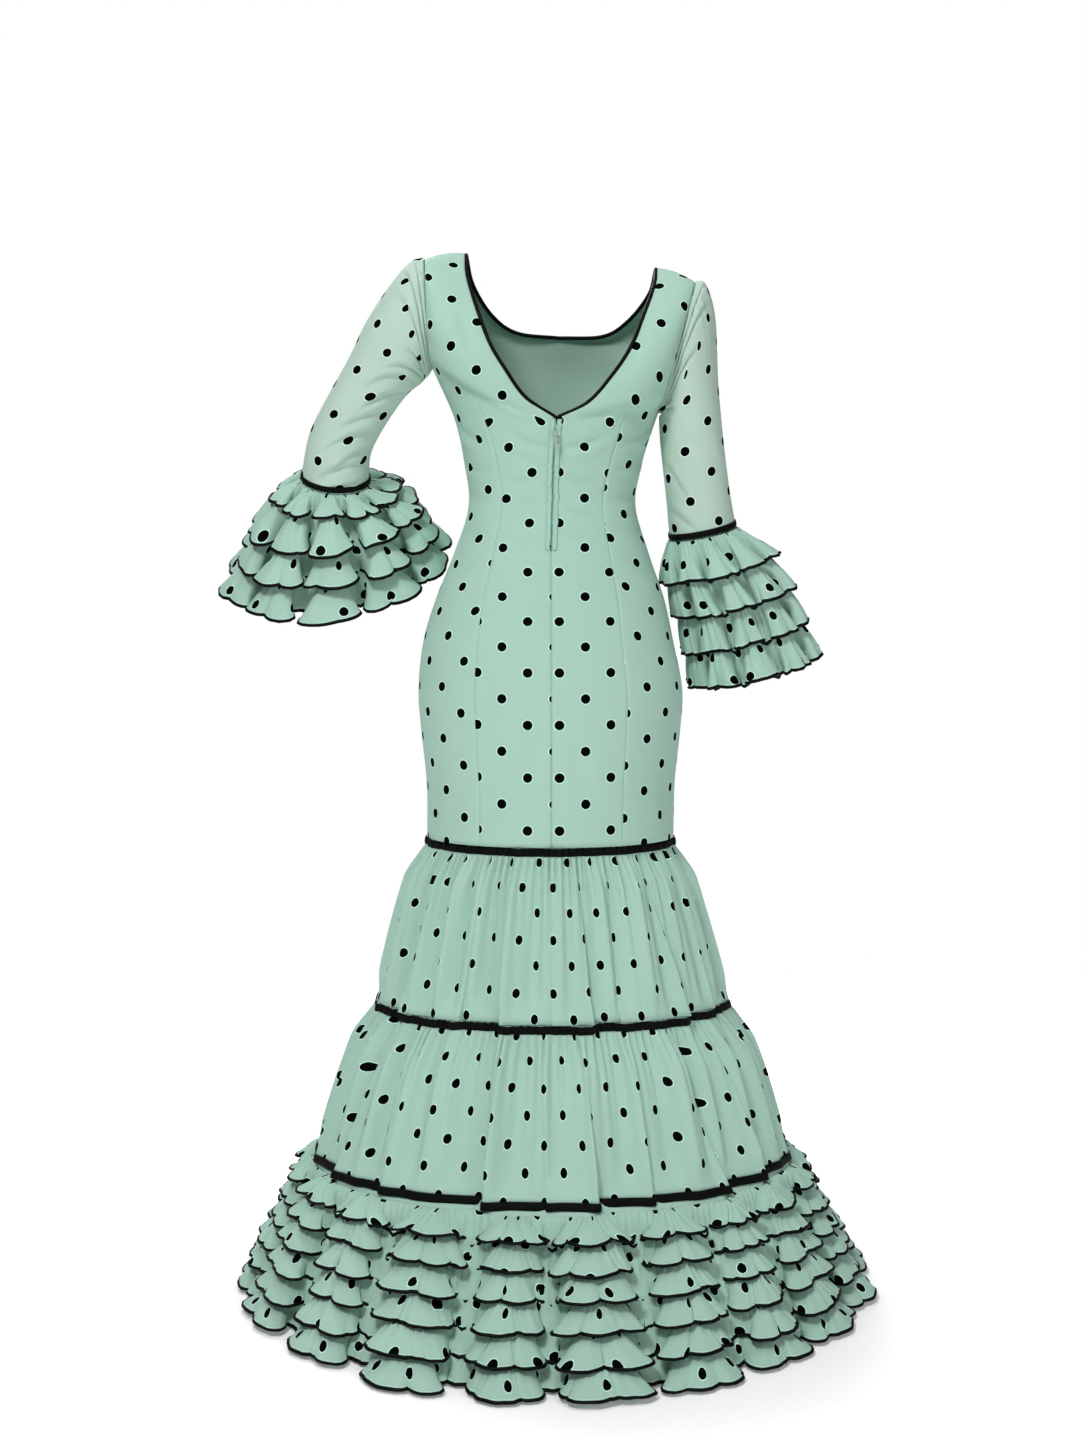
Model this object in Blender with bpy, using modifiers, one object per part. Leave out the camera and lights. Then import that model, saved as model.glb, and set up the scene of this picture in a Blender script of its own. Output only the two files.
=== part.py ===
"""Flamenco dress, worn: a fitted sheath with a deep V back, flared below the knee.

The dress faces -Y with the wearer's left at +X.  Heights in the tables are above the floor that the
wearer stands on; the origin is on the shoulder line, where the wearer holds the dress up.  Every
cloth piece is a sheet, given on its inner face and thickened outwards.
"""
import math

import bmesh
import bpy
from mathutils import Vector

# ---------------------------------------------------------------- driving sizes, metres
SHOULDER_HEIGHT = 1.440
CLOTH = 0.0012
RIBBON = 0.0010
GAP = 0.0004                 # left between two pieces that meet
UP = Vector((0, 0, 1))
MIDDLE = Vector((0, 0, 1))   # a point on the body's axis, for telling a panel's outer face

# The sheath and bodice: one closed ring a row, from the knee up to the underarms.  A ring passes
# through a left, a right, a back and a front point; the back and front points lie at middle_x.
# back_seam and front_seam say where the princess seams cut it, as part of the quarter turn from
# the middle to the side.
SHEATH_COLUMNS = ("left_x", "left_z", "right_x", "right_z", "back_y", "back_z", "front_y", "front_z",
                  "middle_x", "back_seam", "front_seam")
SHEATH = [
    (0.179, 0.632, -0.177, 0.632, 0.168, 0.632, -0.128, 0.632, 0.000, 0.36, 0.38),
    (0.180, 0.710, -0.179, 0.710, 0.162, 0.710, -0.129, 0.710, 0.000, 0.36, 0.38),
    (0.188, 0.785, -0.187, 0.785, 0.156, 0.785, -0.127, 0.785, 0.000, 0.36, 0.38),
    (0.192, 0.845, -0.190, 0.845, 0.150, 0.845, -0.123, 0.845, 0.000, 0.36, 0.38),
    (0.185, 0.914, -0.177, 0.914, 0.139, 0.914, -0.117, 0.914, 0.000, 0.36, 0.38),
    (0.167, 0.975, -0.164, 0.975, 0.122, 0.975, -0.111, 0.975, 0.000, 0.37, 0.38),
    (0.140, 1.043, -0.141, 1.043, 0.102, 1.043, -0.101, 1.043, 0.000, 0.38, 0.39),
    (0.119, 1.112, -0.122, 1.112, 0.088, 1.110, -0.092, 1.112, -0.002, 0.39, 0.40),
    (0.126, 1.178, -0.131, 1.170, 0.091, 1.158, -0.108, 1.168, -0.003, 0.41, 0.42),
    (0.140, 1.240, -0.143, 1.212, 0.096, 1.194, -0.128, 1.216, -0.005, 0.43, 0.44),
    (0.172, 1.313, -0.156, 1.249, 0.100, 1.228, -0.127, 1.275, -0.007, 0.46, 0.46),
]
SQUARENESS = 0.93            # 1 makes the rings ellipses, less makes them squarer
BACK_COLUMNS = 3             # columns of faces in each back centre panel
SIDE_COLUMNS = 2
FRONT_COLUMNS = 2            # in each half of the front centre panel

# Above the underarms each quarter of the bodice spans from the neck edge to the armhole in
# YOKE_ROWS rows, ending at the shoulder seam.  The neck edge has one row a line; the front one
# starts up the middle of the chest, and turns into the neckline at SCOOP_ROW.
NECK_COLUMNS = ("left_x", "left_z", "right_x", "right_z", "y")
NECK_BACK = [
    (-0.007, 1.228, -0.007, 1.228, 0.100),
    (0.037, 1.257, -0.052, 1.250, 0.103),
    (0.066, 1.297, -0.087, 1.289, 0.102),
    (0.088, 1.335, -0.113, 1.329, 0.093),
    (0.106, 1.384, -0.132, 1.375, 0.073),
    (0.122, 1.440, -0.150, 1.427, 0.036),
    (0.1256, 1.4796, -0.1548, 1.4584, 0.0),
]
NECK_FRONT = [
    (-0.007, 1.275, -0.007, 1.275, -0.127),
    (-0.010, 1.325, -0.010, 1.325, -0.121),
    (-0.013, 1.372, -0.013, 1.372, -0.106),
    (0.052, 1.378, -0.080, 1.373, -0.095),
    (0.090, 1.402, -0.118, 1.394, -0.075),
    (0.117, 1.442, -0.147, 1.428, -0.038),
    (0.1256, 1.4796, -0.1548, 1.4584, 0.0),
]
YOKE_ROWS = len(NECK_BACK) - 1
SCOOP_ROW = 2
SEAM_ROWS = 2                # rows in which a princess seam runs out to the armhole
TIP = 0.03                   # width left at the side panels' top corners, as part of the row
SHOULDER_ARCH = 0.004

# Sleeve rings from the armhole to the ribbon.  lean turns a ring from upright (0) to level (90);
# pitch tips its axis forward; up and side are its half sizes.
SLEEVE_COLUMNS = ("x", "y", "z", "lean", "pitch", "up", "side")
SLEEVES = {
    "left": [
        (0.1780, 0.000, 1.3920, 4, 0, 0.0790, 0.0590),
        (0.1910, 0.000, 1.3850, 8, 0, 0.0820, 0.0620),
        (0.2060, 0.000, 1.3700, 17, 0, 0.0740, 0.0600),
        (0.2290, 0.000, 1.3370, 40, 2, 0.0590, 0.0560),
        (0.2540, -0.002, 1.3000, 54, 4, 0.0485, 0.0510),
        (0.2860, -0.006, 1.2490, 57, 8, 0.0455, 0.0480),
        (0.3090, -0.015, 1.2050, 68, 17, 0.0460, 0.0470),
        (0.3170, -0.027, 1.1640, 82, 26, 0.0480, 0.0480),
        (0.3180, -0.031, 1.1535, 84, 28, 0.0490, 0.0490),
    ],
    "right": [
        (-0.1830, 0.000, 1.3435, 16, 0, 0.0980, 0.0590),
        (-0.1945, 0.000, 1.3400, 18, 0, 0.0980, 0.0620),
        (-0.1995, 0.000, 1.3125, 28, 0, 0.0830, 0.0600),
        (-0.2010, 0.000, 1.2650, 59, 0, 0.0490, 0.0540),
        (-0.2055, -0.002, 1.2080, 80, 3, 0.0450, 0.0490),
        (-0.2145, -0.010, 1.1350, 80, 8, 0.0455, 0.0465),
        (-0.2215, -0.018, 1.0850, 79, 10, 0.0475, 0.0475),
        (-0.2230, -0.020, 1.0745, 78, 10, 0.0480, 0.0480),
    ],
}
SLEEVE_SIDES = 12

# Rings that the sleeve ruffles hang to, from the ribbon down: base is the radius of the flared
# base that carries them, and reach the folds' outer radius.
BELL_COLUMNS = ("x", "y", "z", "lean", "pitch", "base", "reach")
BELLS = {
    "left": [
        (0.3183, -0.0325, 1.1512, 84, 28, 0.0492, 0.0510),
        (0.3185, -0.0420, 1.1350, 91, 29, 0.0560, 0.0930),
        (0.3190, -0.0600, 1.1030, 98, 30, 0.0780, 0.1290),
        (0.3200, -0.0820, 1.0680, 98, 30, 0.0990, 0.1540),
        (0.3205, -0.1020, 1.0300, 98, 30, 0.1220, 0.1760),
    ],
    "right": [
        (-0.2234, -0.0205, 1.0720, 78, 10, 0.0482, 0.0500),
        (-0.2460, -0.0270, 1.0230, 75, 10, 0.0560, 0.0870),
        (-0.2680, -0.0340, 0.9750, 75, 10, 0.0620, 0.0920),
        (-0.2850, -0.0410, 0.9240, 75, 10, 0.0670, 0.0960),
        (-0.3000, -0.0480, 0.8760, 75, 10, 0.0720, 0.1010),
    ],
}
BELL_SEAT = 0.30             # how far up towards the ring above each ruffle is sewn
BELL_FOLDS = 10

# Skirt rings: the outer reach of the folds on four sides, and how deep the folds go.
SKIRT_COLUMNS = ("z", "left", "right", "back", "front", "depth")
TIER_1 = [
    (0.6312, 0.1790, 0.1770, 0.1680, 0.1280, 0.001),
    (0.6190, 0.1800, 0.1780, 0.1690, 0.1290, 0.002),
    (0.5750, 0.2060, 0.2040, 0.1870, 0.1500, 0.006),
    (0.3980, 0.2530, 0.2550, 0.2130, 0.2050, 0.010),
]
TIER_2 = [
    (0.3972, 0.2530, 0.2550, 0.2130, 0.2050, 0.004),
    (0.3860, 0.2560, 0.2580, 0.2150, 0.2070, 0.005),
    (0.3300, 0.2920, 0.2960, 0.2440, 0.2350, 0.009),
    (0.1840, 0.3410, 0.3430, 0.3040, 0.2950, 0.014),
]
HEM = [
    (0.1832, 0.3400, 0.3420, 0.3030, 0.2940, 0.014),
    (0.0000, 0.4160, 0.4260, 0.4700, 0.3950, 0.014),
]
# One row a hem fold: where it stands, in degrees from the wearer's left round by the back, and
# how far it reaches compared with the others.
HEM_FOLDS = [
    (8, 0.95), (26, 1.05), (44, 0.95), (64, 1.10), (82, 1.00),
    (98, 1.20), (116, 1.05), (132, 0.95), (148, 1.00), (166, 1.10),
    (185, 0.95), (203, 1.05), (222, 1.00), (241, 1.10), (258, 0.95),
    (276, 1.05), (294, 1.00), (312, 1.10), (330, 0.95), (348, 1.05),
]
RIBBON_SLEEVE = 0.0090

# Hem ruffles hang in steps, each sewn on a little above the edge of the one over it.
HEM_RUFFLES = 6
HEM_TOP = 0.1710
HEM_EDGES = 0.1490           # the first ruffle's edge
HEM_STEP = 0.0285
HEM_LAP = 0.0110
HEM_REACH = (0.030, 0.046)   # how far the first and the last ruffle's folds stand off the base
VALLEY_REACH = 0.0095        # and how far their valleys do
SEAT = 0.0028                # from the base's inner face to that of a ruffle sewn on it
EDGING_DROP = 0.0030
EDGING_GAP = 0.0010

PIPING_RADIUS = 0.0023
ZIP_ROWS = (6, 10)           # the sheath rows between which the tapes run
TAPE_WIDTH = 0.0050
TAPE_THICK = 0.0008
ZIP_BAR = Vector((-0.0060, 0.1108, 1.2060))    # middle of the bar that the pull hangs on
SLIDER_SIZE = Vector((0.0062, 0.0024, 0.0100))
BAR_RADIUS = 0.0005
CHEEK = 0.0010
CHEEK_GAP = 0.0026
PULL_THICK = 0.0010
PULL_WIDTH = 0.0040
PULL_LENGTH = 0.0190
PULL_EYE = (0.0014, 0.0008)  # outer and inner radius of the pull's eye

COLOURS = {                  # colour, roughness, metallic
    "dress_cloth": ((0.392, 0.617, 0.509), 0.75, 0.0),
    "sleeve_cloth": ((0.445, 0.577, 0.474), 0.75, 0.0),
    "black_ribbon": ((0.006, 0.007, 0.006), 0.55, 0.0),
    "black_edging": ((0.005, 0.006, 0.005), 0.40, 0.0),
    "zip_tape": ((0.240, 0.480, 0.390), 0.70, 0.0),
    "zip_metal": ((0.700, 0.720, 0.700), 0.35, 0.9),
}


# ---------------------------------------------------------------- scene and materials
def clear_scene():
    for old in list(bpy.data.objects):
        bpy.data.objects.remove(old, do_unlink=True)


def make_material(name):
    colour, roughness, metallic = COLOURS[name]
    material = bpy.data.materials.new(name)
    material.use_nodes = True
    shader = material.node_tree.nodes["Principled BSDF"]
    shader.inputs["Base Color"].default_value = (*colour, 1.0)
    shader.inputs["Roughness"].default_value = roughness
    shader.inputs["Metallic"].default_value = metallic
    return material


def add_piece(name, mesh, material):
    """Link a mesh whose points are above the floor, as a piece placed from the shoulder line."""
    piece = bpy.data.objects.new(name, mesh)
    mesh.materials.append(MATERIALS[material])
    DRESS.objects.link(piece)
    piece.location = (0, 0, -SHOULDER_HEIGHT)
    return piece


def named(columns, row):
    return dict(zip(columns, row))


# ---------------------------------------------------------------- making cloth
def sheet(name, rows, closed, material, thickness=CLOTH, inside=None, fold_lines=False):
    """A sheet through rows of points, thickened outwards.  closed joins each row's ends."""
    shape = bmesh.new()
    grid = [[shape.verts.new(point) for point in row] for row in rows]
    count = len(rows[0]) if closed else len(rows[0]) - 1
    for upper, lower in zip(grid, grid[1:]):
        for i in range(count):
            j = (i + 1) % len(upper)
            if not fold_lines:
                shape.faces.new((upper[i], upper[j], lower[j], lower[i]))
            elif i % 2 == 0:      # from a valley to a crest
                shape.faces.new((upper[i], upper[j], lower[j]))
                shape.faces.new((upper[i], lower[j], lower[i]))
            else:
                shape.faces.new((upper[i], upper[j], lower[i]))
                shape.faces.new((upper[j], lower[j], lower[i]))
    return thicken(name, shape, material, thickness, inside)


def thicken(name, shape, material, thickness, inside):
    """Turn a sheet's faces away from inside, or from its own middle, and give it a thickness."""
    middle = inside or sum((v.co for v in shape.verts), Vector()) / len(shape.verts)
    shape.normal_update()
    facing = 0.0
    for face in shape.faces:
        away = face.calc_center_median() - middle
        away.z = 0.0
        facing += face.normal.dot(away) * face.calc_area()
    if facing < 0:
        bmesh.ops.reverse_faces(shape, faces=shape.faces)
    mesh = bpy.data.meshes.new(name)
    shape.to_mesh(mesh)
    shape.free()
    piece = add_piece(name, mesh, material)
    wall = piece.modifiers.new("cloth", "SOLIDIFY")
    wall.thickness = thickness
    wall.offset = 1.0
    wall.use_quality_normals = True
    return piece


def swept_ring(name, sections, material):
    """A closed ring through small closed sections, for edgings."""
    shape = bmesh.new()
    rings = [[shape.verts.new(point) for point in section] for section in sections]
    sides = len(sections[0])
    for first, second in zip(rings, rings[1:] + rings[:1]):
        for i in range(sides):
            j = (i + 1) % sides
            shape.faces.new((first[i], first[j], second[j], second[i]))
    bmesh.ops.recalc_face_normals(shape, faces=shape.faces)
    mesh = bpy.data.meshes.new(name)
    shape.to_mesh(mesh)
    shape.free()
    return add_piece(name, mesh, material)


def tighten(row, start, end):
    """Draw a row's ends in along the row by the given amounts."""
    row = list(row)
    row[0] = row[0] + (row[1] - row[0]).normalized() * start
    row[-1] = row[-1] + (row[-2] - row[-1]).normalized() * end
    return row


# ---------------------------------------------------------------- sheath and bodice
def round_power(value):
    return math.copysign(abs(value) ** SQUARENESS, value)


def ring_point(row, face, side, part):
    """A point of a sheath ring: part runs from 0 at the middle of a face to 1 at the side."""
    ring = named(SHEATH_COLUMNS, SHEATH[row])
    angle = part * math.pi / 2
    across = round_power(math.sin(angle))
    along = round_power(math.cos(angle))
    x = ring["middle_x"] + (ring[side + "_x"] - ring["middle_x"]) * across
    y = ring[face + "_y"] * along
    z = ring[face + "_z"] + (ring[side + "_z"] - ring[face + "_z"]) * across ** 2
    return Vector((x, y, z))


def neck_point(face, side, row):
    edge = named(NECK_COLUMNS, (NECK_BACK if face == "back" else NECK_FRONT)[row])
    return Vector((edge[side + "_x"], edge["y"], edge[side + "_z"]))


def ring_frame(lean, pitch, side):
    """A ring's two directions: up its own plane, and backwards across it; then its axis."""
    out = 1 if side == "left" else -1
    lean = math.radians(lean)
    pitch = math.radians(pitch)
    upward = Vector((math.sin(lean) * out, 0, math.cos(lean)))
    axis = Vector((math.cos(lean) * out, 0, -math.sin(lean)))
    back = Vector((0, 1, 0)) * math.cos(pitch) + axis * math.sin(pitch)
    axis = axis * math.cos(pitch) - Vector((0, 1, 0)) * math.sin(pitch)
    return upward, back, axis


def armhole_point(face, side, part):
    """part runs from 0 at the underarm to 1 at the shoulder, up the back or the front."""
    ring = named(SLEEVE_COLUMNS, SLEEVES[side][0])
    upward, back, axis = ring_frame(ring["lean"], ring["pitch"], side)
    angle = math.pi * (1 - part)
    turn = math.sin(angle) * (1 if face == "back" else -1)
    middle = Vector((ring["x"], ring["y"], ring["z"]))
    return middle + upward * ring["up"] * math.cos(angle) + back * ring["side"] * turn


def shoulder_point(side, part):
    neck = neck_point("back", side, YOKE_ROWS)
    tip = armhole_point("back", side, 1)
    return neck.lerp(tip, part) + UP * SHOULDER_ARCH * math.sin(math.pi * part)


def yoke_point(face, side, row, part):
    """The bodice above the underarms, spanned between its four edges."""
    rise = row / YOKE_ROWS
    top = len(SHEATH) - 1
    low, high = ring_point(top, face, side, part), shoulder_point(side, part)
    inner, outer = neck_point(face, side, row), armhole_point(face, side, rise)
    corners = (ring_point(top, face, side, 0).lerp(ring_point(top, face, side, 1), part),
               shoulder_point(side, 0).lerp(shoulder_point(side, 1), part))
    return low.lerp(high, rise) + inner.lerp(outer, part) - corners[0].lerp(corners[1], rise)


def bodice_point(face, side, row, part):
    if row < len(SHEATH):
        return ring_point(row, face, side, part)
    return yoke_point(face, side, row - len(SHEATH) + 1, part)


def seam_part(face, row):
    """Where a princess seam crosses a row."""
    above = row - len(SHEATH) + 1
    start = named(SHEATH_COLUMNS, SHEATH[min(row, len(SHEATH) - 1)])[face + "_seam"]
    if above <= 0:
        return start
    if above > SEAM_ROWS:
        return 1.0
    return start + (1.0 - TIP - start) * above / SEAM_ROWS


def panel_row(face, side, row, low, high, columns):
    return [bodice_point(face, side, row, low + (high - low) * i / columns) for i in range(columns + 1)]


def last_row_to_seam(rows):
    """Lower the last row a little, so that it clears the piece sewn to it."""
    return rows[:-1] + [[a + (b - a).normalized() * GAP / 2 for a, b in zip(rows[-1], rows[-2])]]


def all_rows():
    return range(len(SHEATH) + YOKE_ROWS)


def make_back_centre(side):
    rows = []
    for row in all_rows():
        points = panel_row("back", side, row, 0.0, seam_part("back", row), BACK_COLUMNS)
        middle_gap = GAP / 2 if row < len(SHEATH) else 0.0
        rows.append(tighten(points, middle_gap, GAP / 2))
    sheet("back_centre_" + side, last_row_to_seam(rows), False, "dress_cloth", inside=MIDDLE)


def make_side_panel(face, side):
    rows = []
    for row in range(len(SHEATH) + SEAM_ROWS):
        points = panel_row(face, side, row, seam_part(face, row), 1.0, SIDE_COLUMNS)
        rows.append(tighten(points, GAP / 2, GAP / 2))
    sheet(f"{face}_side_{side}", last_row_to_seam(rows), False, "dress_cloth", inside=MIDDLE)


def make_front_centre():
    """Two halves that share the middle line up to the neckline, welded into one panel."""
    shape = bmesh.new()
    for side in ("left", "right"):
        rows = []
        for row in all_rows():
            points = panel_row("front", side, row, 0.0, seam_part("front", row), FRONT_COLUMNS)
            rows.append(tighten(points, 0.0, GAP / 2))
        grid = [[shape.verts.new(point) for point in row] for row in last_row_to_seam(rows)]
        for lower, upper in zip(grid, grid[1:]):
            for i in range(FRONT_COLUMNS):
                corners = (lower[i], lower[i + 1], upper[i + 1], upper[i])
                shape.faces.new(corners if side == "right" else tuple(reversed(corners)))
    bmesh.ops.remove_doubles(shape, verts=shape.verts, dist=0.0001)
    thicken("front_centre", shape, "dress_cloth", CLOTH, MIDDLE)


def neck_loop():
    """The neck opening's edge, round from the V's point and back to it."""
    half = {}
    for side in ("left", "right"):
        back = [neck_point("back", side, row) for row in range(YOKE_ROWS + 1)]
        front = [neck_point("front", side, row) for row in range(SCOOP_ROW, YOKE_ROWS)]
        half[side] = back + list(reversed(front))
    return half["left"] + list(reversed(half["right"][1:-1]))


def make_piping():
    """A cord along the neck edge, set into the opening."""
    edge = neck_loop()
    middle = sum(edge, Vector()) / len(edge)
    spline_points = []
    for i, point in enumerate(edge):
        along = (edge[(i + 1) % len(edge)] - edge[i - 1]).normalized()
        inward = middle - point
        inward = (inward - along * inward.dot(along)).normalized()
        spline_points.append(point + inward * (PIPING_RADIUS + CLOTH + GAP))
    curve = bpy.data.curves.new("neck_piping", "CURVE")
    curve.dimensions = "3D"
    curve.bevel_depth = PIPING_RADIUS
    curve.bevel_resolution = 1
    spline = curve.splines.new("POLY")
    spline.points.add(len(spline_points) - 1)
    for target, point in zip(spline.points, spline_points):
        target.co = (*point, 1.0)
    spline.use_cyclic_u = True
    add_piece("neck_piping", curve, "black_edging")


# ---------------------------------------------------------------- zip
def make_zip_tape(side):
    """A narrow strip lying on the back centre panel beside its middle edge."""
    rows = []
    for row in range(ZIP_ROWS[0], ZIP_ROWS[1] + 1):
        panel = panel_row("back", side, row, 0.0, seam_part("back", row), BACK_COLUMNS)
        panel = tighten(panel, GAP / 2, 0.0)
        across = (panel[1] - panel[0]).normalized()
        outward = Vector((0, 1, 0)) - across * across.y
        off = outward.normalized() * (CLOTH + GAP)
        rows.append([panel[0] + off, panel[0] + off + across * TAPE_WIDTH])
    sheet("zip_tape_" + side, last_row_to_seam(rows), False, "zip_tape", TAPE_THICK, MIDDLE)


def box(name, centre, size):
    bpy.ops.mesh.primitive_cube_add(size=1.0, location=centre - UP * SHOULDER_HEIGHT)
    block = bpy.context.object
    block.name = name
    block.scale = size
    bpy.ops.object.transform_apply(location=False, rotation=False, scale=True)
    return block


def rod_along_x(name, centre, radius, length, sides=16):
    bpy.ops.mesh.primitive_cylinder_add(vertices=sides, radius=radius, depth=length,
                                        location=centre - UP * SHOULDER_HEIGHT,
                                        rotation=(0, math.pi / 2, 0))
    bpy.context.object.name = name
    return bpy.context.object


def combine(piece, other, operation):
    """Cut or join with a Boolean; the other shape goes to the cutters' collection."""
    change = piece.modifiers.new(other.name, "BOOLEAN")
    change.object = other
    change.operation = operation
    for home in list(other.users_collection):
        home.objects.unlink(other)
    CUTTERS.objects.link(other)
    other.hide_render = True
    other.display_type = "WIRE"


def adopt(piece, material):
    """Move a piece made by an operator into the dress's collection."""
    for home in list(piece.users_collection):
        home.objects.unlink(piece)
    DRESS.objects.link(piece)
    piece.data.materials.append(MATERIALS[material])


def make_slider():
    """The slider's plate, with two cheeks that hold the bar."""
    front = ZIP_BAR.y - PULL_EYE[0] - GAP - SLIDER_SIZE.y / 2
    plate_middle = Vector((ZIP_BAR.x, front, ZIP_BAR.z))
    slider = box("zip_slider", plate_middle, SLIDER_SIZE)
    reach = ZIP_BAR.y + BAR_RADIUS * 1.6 - front
    for way in (-1, 1):
        cheek_x = ZIP_BAR.x + way * (CHEEK_GAP + CHEEK) / 2
        cheek = box("cheek", Vector((cheek_x, front + reach / 2, ZIP_BAR.z)),
                    Vector((CHEEK, reach, SLIDER_SIZE.z * 0.4)))
        combine(slider, cheek, "UNION")
    combine(slider, rod_along_x("bar", ZIP_BAR, BAR_RADIUS, CHEEK_GAP + CHEEK, 12), "UNION")
    adopt(slider, "zip_metal")


def make_pull():
    """The pull tab, hanging straight down from the bar, with its origin on the bar's axis."""
    eye_width = CHEEK_GAP - 2 * GAP
    pull = rod_along_x("zip_pull", ZIP_BAR, PULL_EYE[0], eye_width)
    bpy.ops.object.transform_apply(location=False, rotation=True, scale=False)
    neck = box("neck", ZIP_BAR - UP * PULL_EYE[0] * 1.8, Vector((eye_width, PULL_THICK, PULL_EYE[0] * 2.4)))
    combine(pull, neck, "UNION")
    drop = PULL_LENGTH - PULL_EYE[0] * 2.8
    tab_middle = ZIP_BAR - UP * (PULL_EYE[0] * 2.6 + drop / 2)
    combine(pull, box("tab", tab_middle, Vector((PULL_WIDTH, PULL_THICK, drop))), "UNION")
    combine(pull, rod_along_x("eye", ZIP_BAR, PULL_EYE[1], eye_width * 2), "DIFFERENCE")
    adopt(pull, "zip_metal")


# ---------------------------------------------------------------- sleeves
def sleeve_ring(side, row):
    ring = named(SLEEVE_COLUMNS, row)
    upward, back, axis = ring_frame(ring["lean"], ring["pitch"], side)
    middle = Vector((ring["x"], ring["y"], ring["z"]))
    points = []
    for i in range(SLEEVE_SIDES):
        angle = 2 * math.pi * i / SLEEVE_SIDES
        points.append(middle + upward * ring["up"] * math.cos(angle) + back * ring["side"] * math.sin(angle))
    return points, axis


def make_sleeve(side):
    rings = [sleeve_ring(side, row) for row in SLEEVES[side]]
    armhole, axis = rings[0]
    rows = [[point + axis * (CLOTH + 3 * GAP) for point in armhole]] + [ring for ring, _ in rings[1:]]
    sheet("sleeve_" + side, rows, True, "sleeve_cloth")
    band = []
    for share in (RIBBON_SLEEVE / (rows[-1][0] - rows[-2][0]).length, 0.0):
        ring = [low.lerp(high, share) for high, low in zip(rows[-2], rows[-1])]
        middle = sum(ring, Vector()) / len(ring)
        band.append([point + (point - middle).normalized() * (CLOTH + 2 * GAP) for point in ring])
    sheet("sleeve_band_" + side, band, True, "black_ribbon", RIBBON)


def bell_ring(side, level):
    """A ring between two rows of the bell's table; level counts rows from the ribbon down."""
    low = min(int(level), len(BELLS[side]) - 2)
    first, second = (named(BELL_COLUMNS, BELLS[side][i]) for i in (low, low + 1))
    mix = level - low
    return {key: first[key] + (second[key] - first[key]) * mix for key in BELL_COLUMNS}


def bell_place(side, level, turn, off):
    """A point round a bell: off is its distance outside the base."""
    ring = bell_ring(side, level)
    upward, back, _ = ring_frame(ring["lean"], ring["pitch"], side)
    angle = 2 * math.pi * turn
    direction = upward * math.cos(angle) + back * math.sin(angle)
    return Vector((ring["x"], ring["y"], ring["z"])) + direction * (ring["base"] + off)


# ---------------------------------------------------------------- ruffles
def fold_turns(folds):
    """Each fold's crest, and the valley before it, as parts of a turn."""
    crests = [degrees / 360 for degrees, _ in folds]
    valleys = []
    for i, crest in enumerate(crests):
        before = crests[i - 1] - (1 if i == 0 else 0)
        valleys.append((before + crest) / 2)
    return valleys, crests


def base_row(place, level, valleys, off):
    return [place(level, turn, off) for turn in valleys]


def ruffle_rows(place, top, bottom, folds, crest_reach):
    """A ruffle's sewn row, lying on the base between its valleys, and its free row."""
    valleys, crests = fold_turns(folds)
    sewn, free = [], []
    for i, (crest, (_, reach)) in enumerate(zip(crests, folds)):
        following = valleys[(i + 1) % len(valleys)]
        first, second = place(top, valleys[i], SEAT), place(top, following, SEAT)
        sewn += [first, (first + second) / 2]
        free += [place(bottom, valleys[i], VALLEY_REACH), place(bottom, crest, crest_reach * reach)]
    return sewn, free


def make_ruffle(name, edging_name, material, rows):
    """The ruffle, and the bound edge under its free row."""
    sewn, free = rows
    sheet(name, rows, True, material, fold_lines=True)
    middle = sum(free, Vector()) / len(free)
    sections = []
    for high, low in zip(sewn, free):
        down = (low - high).normalized()
        outward = low - middle
        outward = (outward - down * outward.dot(down)).normalized()
        seam = low + down * EDGING_GAP
        sections.append([seam - outward * CLOTH * 0.4, seam + outward * CLOTH * 1.4,
                         seam + outward * CLOTH * 0.5 + down * EDGING_DROP])
    swept_ring(edging_name, sections, "black_edging")


def make_bell(side):
    folds = [((i + 0.5) * 360 / BELL_FOLDS, 1.0) for i in range(BELL_FOLDS)]
    valleys, _ = fold_turns(folds)
    count = len(BELLS[side]) - 1

    def place(level, turn, off):
        return bell_place(side, level, turn, off)

    tops = [0.0] + [k - BELL_SEAT for k in range(1, count)]
    levels = tops + [count - 0.25]
    base = [base_row(place, level, valleys, 0.0) for level in levels]
    sheet("sleeve_base_" + side, base, True, "dress_cloth")
    for k in range(count):
        ring = bell_ring(side, k + 1)
        rows = ruffle_rows(place, tops[k], k + 1, folds, ring["reach"] - ring["base"])
        make_ruffle(f"sleeve_ruffle_{side}_{k + 1}", f"sleeve_edging_{side}_{k + 1}", "dress_cloth", rows)


# ---------------------------------------------------------------- skirt
def skirt_point(row, turn, depth_part):
    """A point on a skirt ring; depth_part is 0 on a fold's crest and 1 in the valley."""
    ring = named(SKIRT_COLUMNS, row)
    angle = 2 * math.pi * turn
    across, along = math.cos(angle), math.sin(angle)
    side = ring["left"] if across >= 0 else ring["right"]
    face = ring["back"] if along >= 0 else ring["front"]
    inward = ring["depth"] * depth_part
    return Vector(((side - inward) * across, (face - inward) * along, ring["z"]))


def tier_row(row):
    points = []
    for valley, crest in zip(*fold_turns(HEM_FOLDS)):
        points += [skirt_point(row, valley, 1.0), skirt_point(row, crest, 0.0)]
    return points


def ribbon_rows(upper, lower):
    """Two rows of a skirt piece moved out, for the ribbon that lies on them."""
    rows = []
    for row in (upper, lower):
        outward = [Vector((point.x, point.y, 0)).normalized() for point in row]
        rows.append([point + out * (CLOTH + 2 * GAP) for point, out in zip(row, outward)])
    return rows


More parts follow.
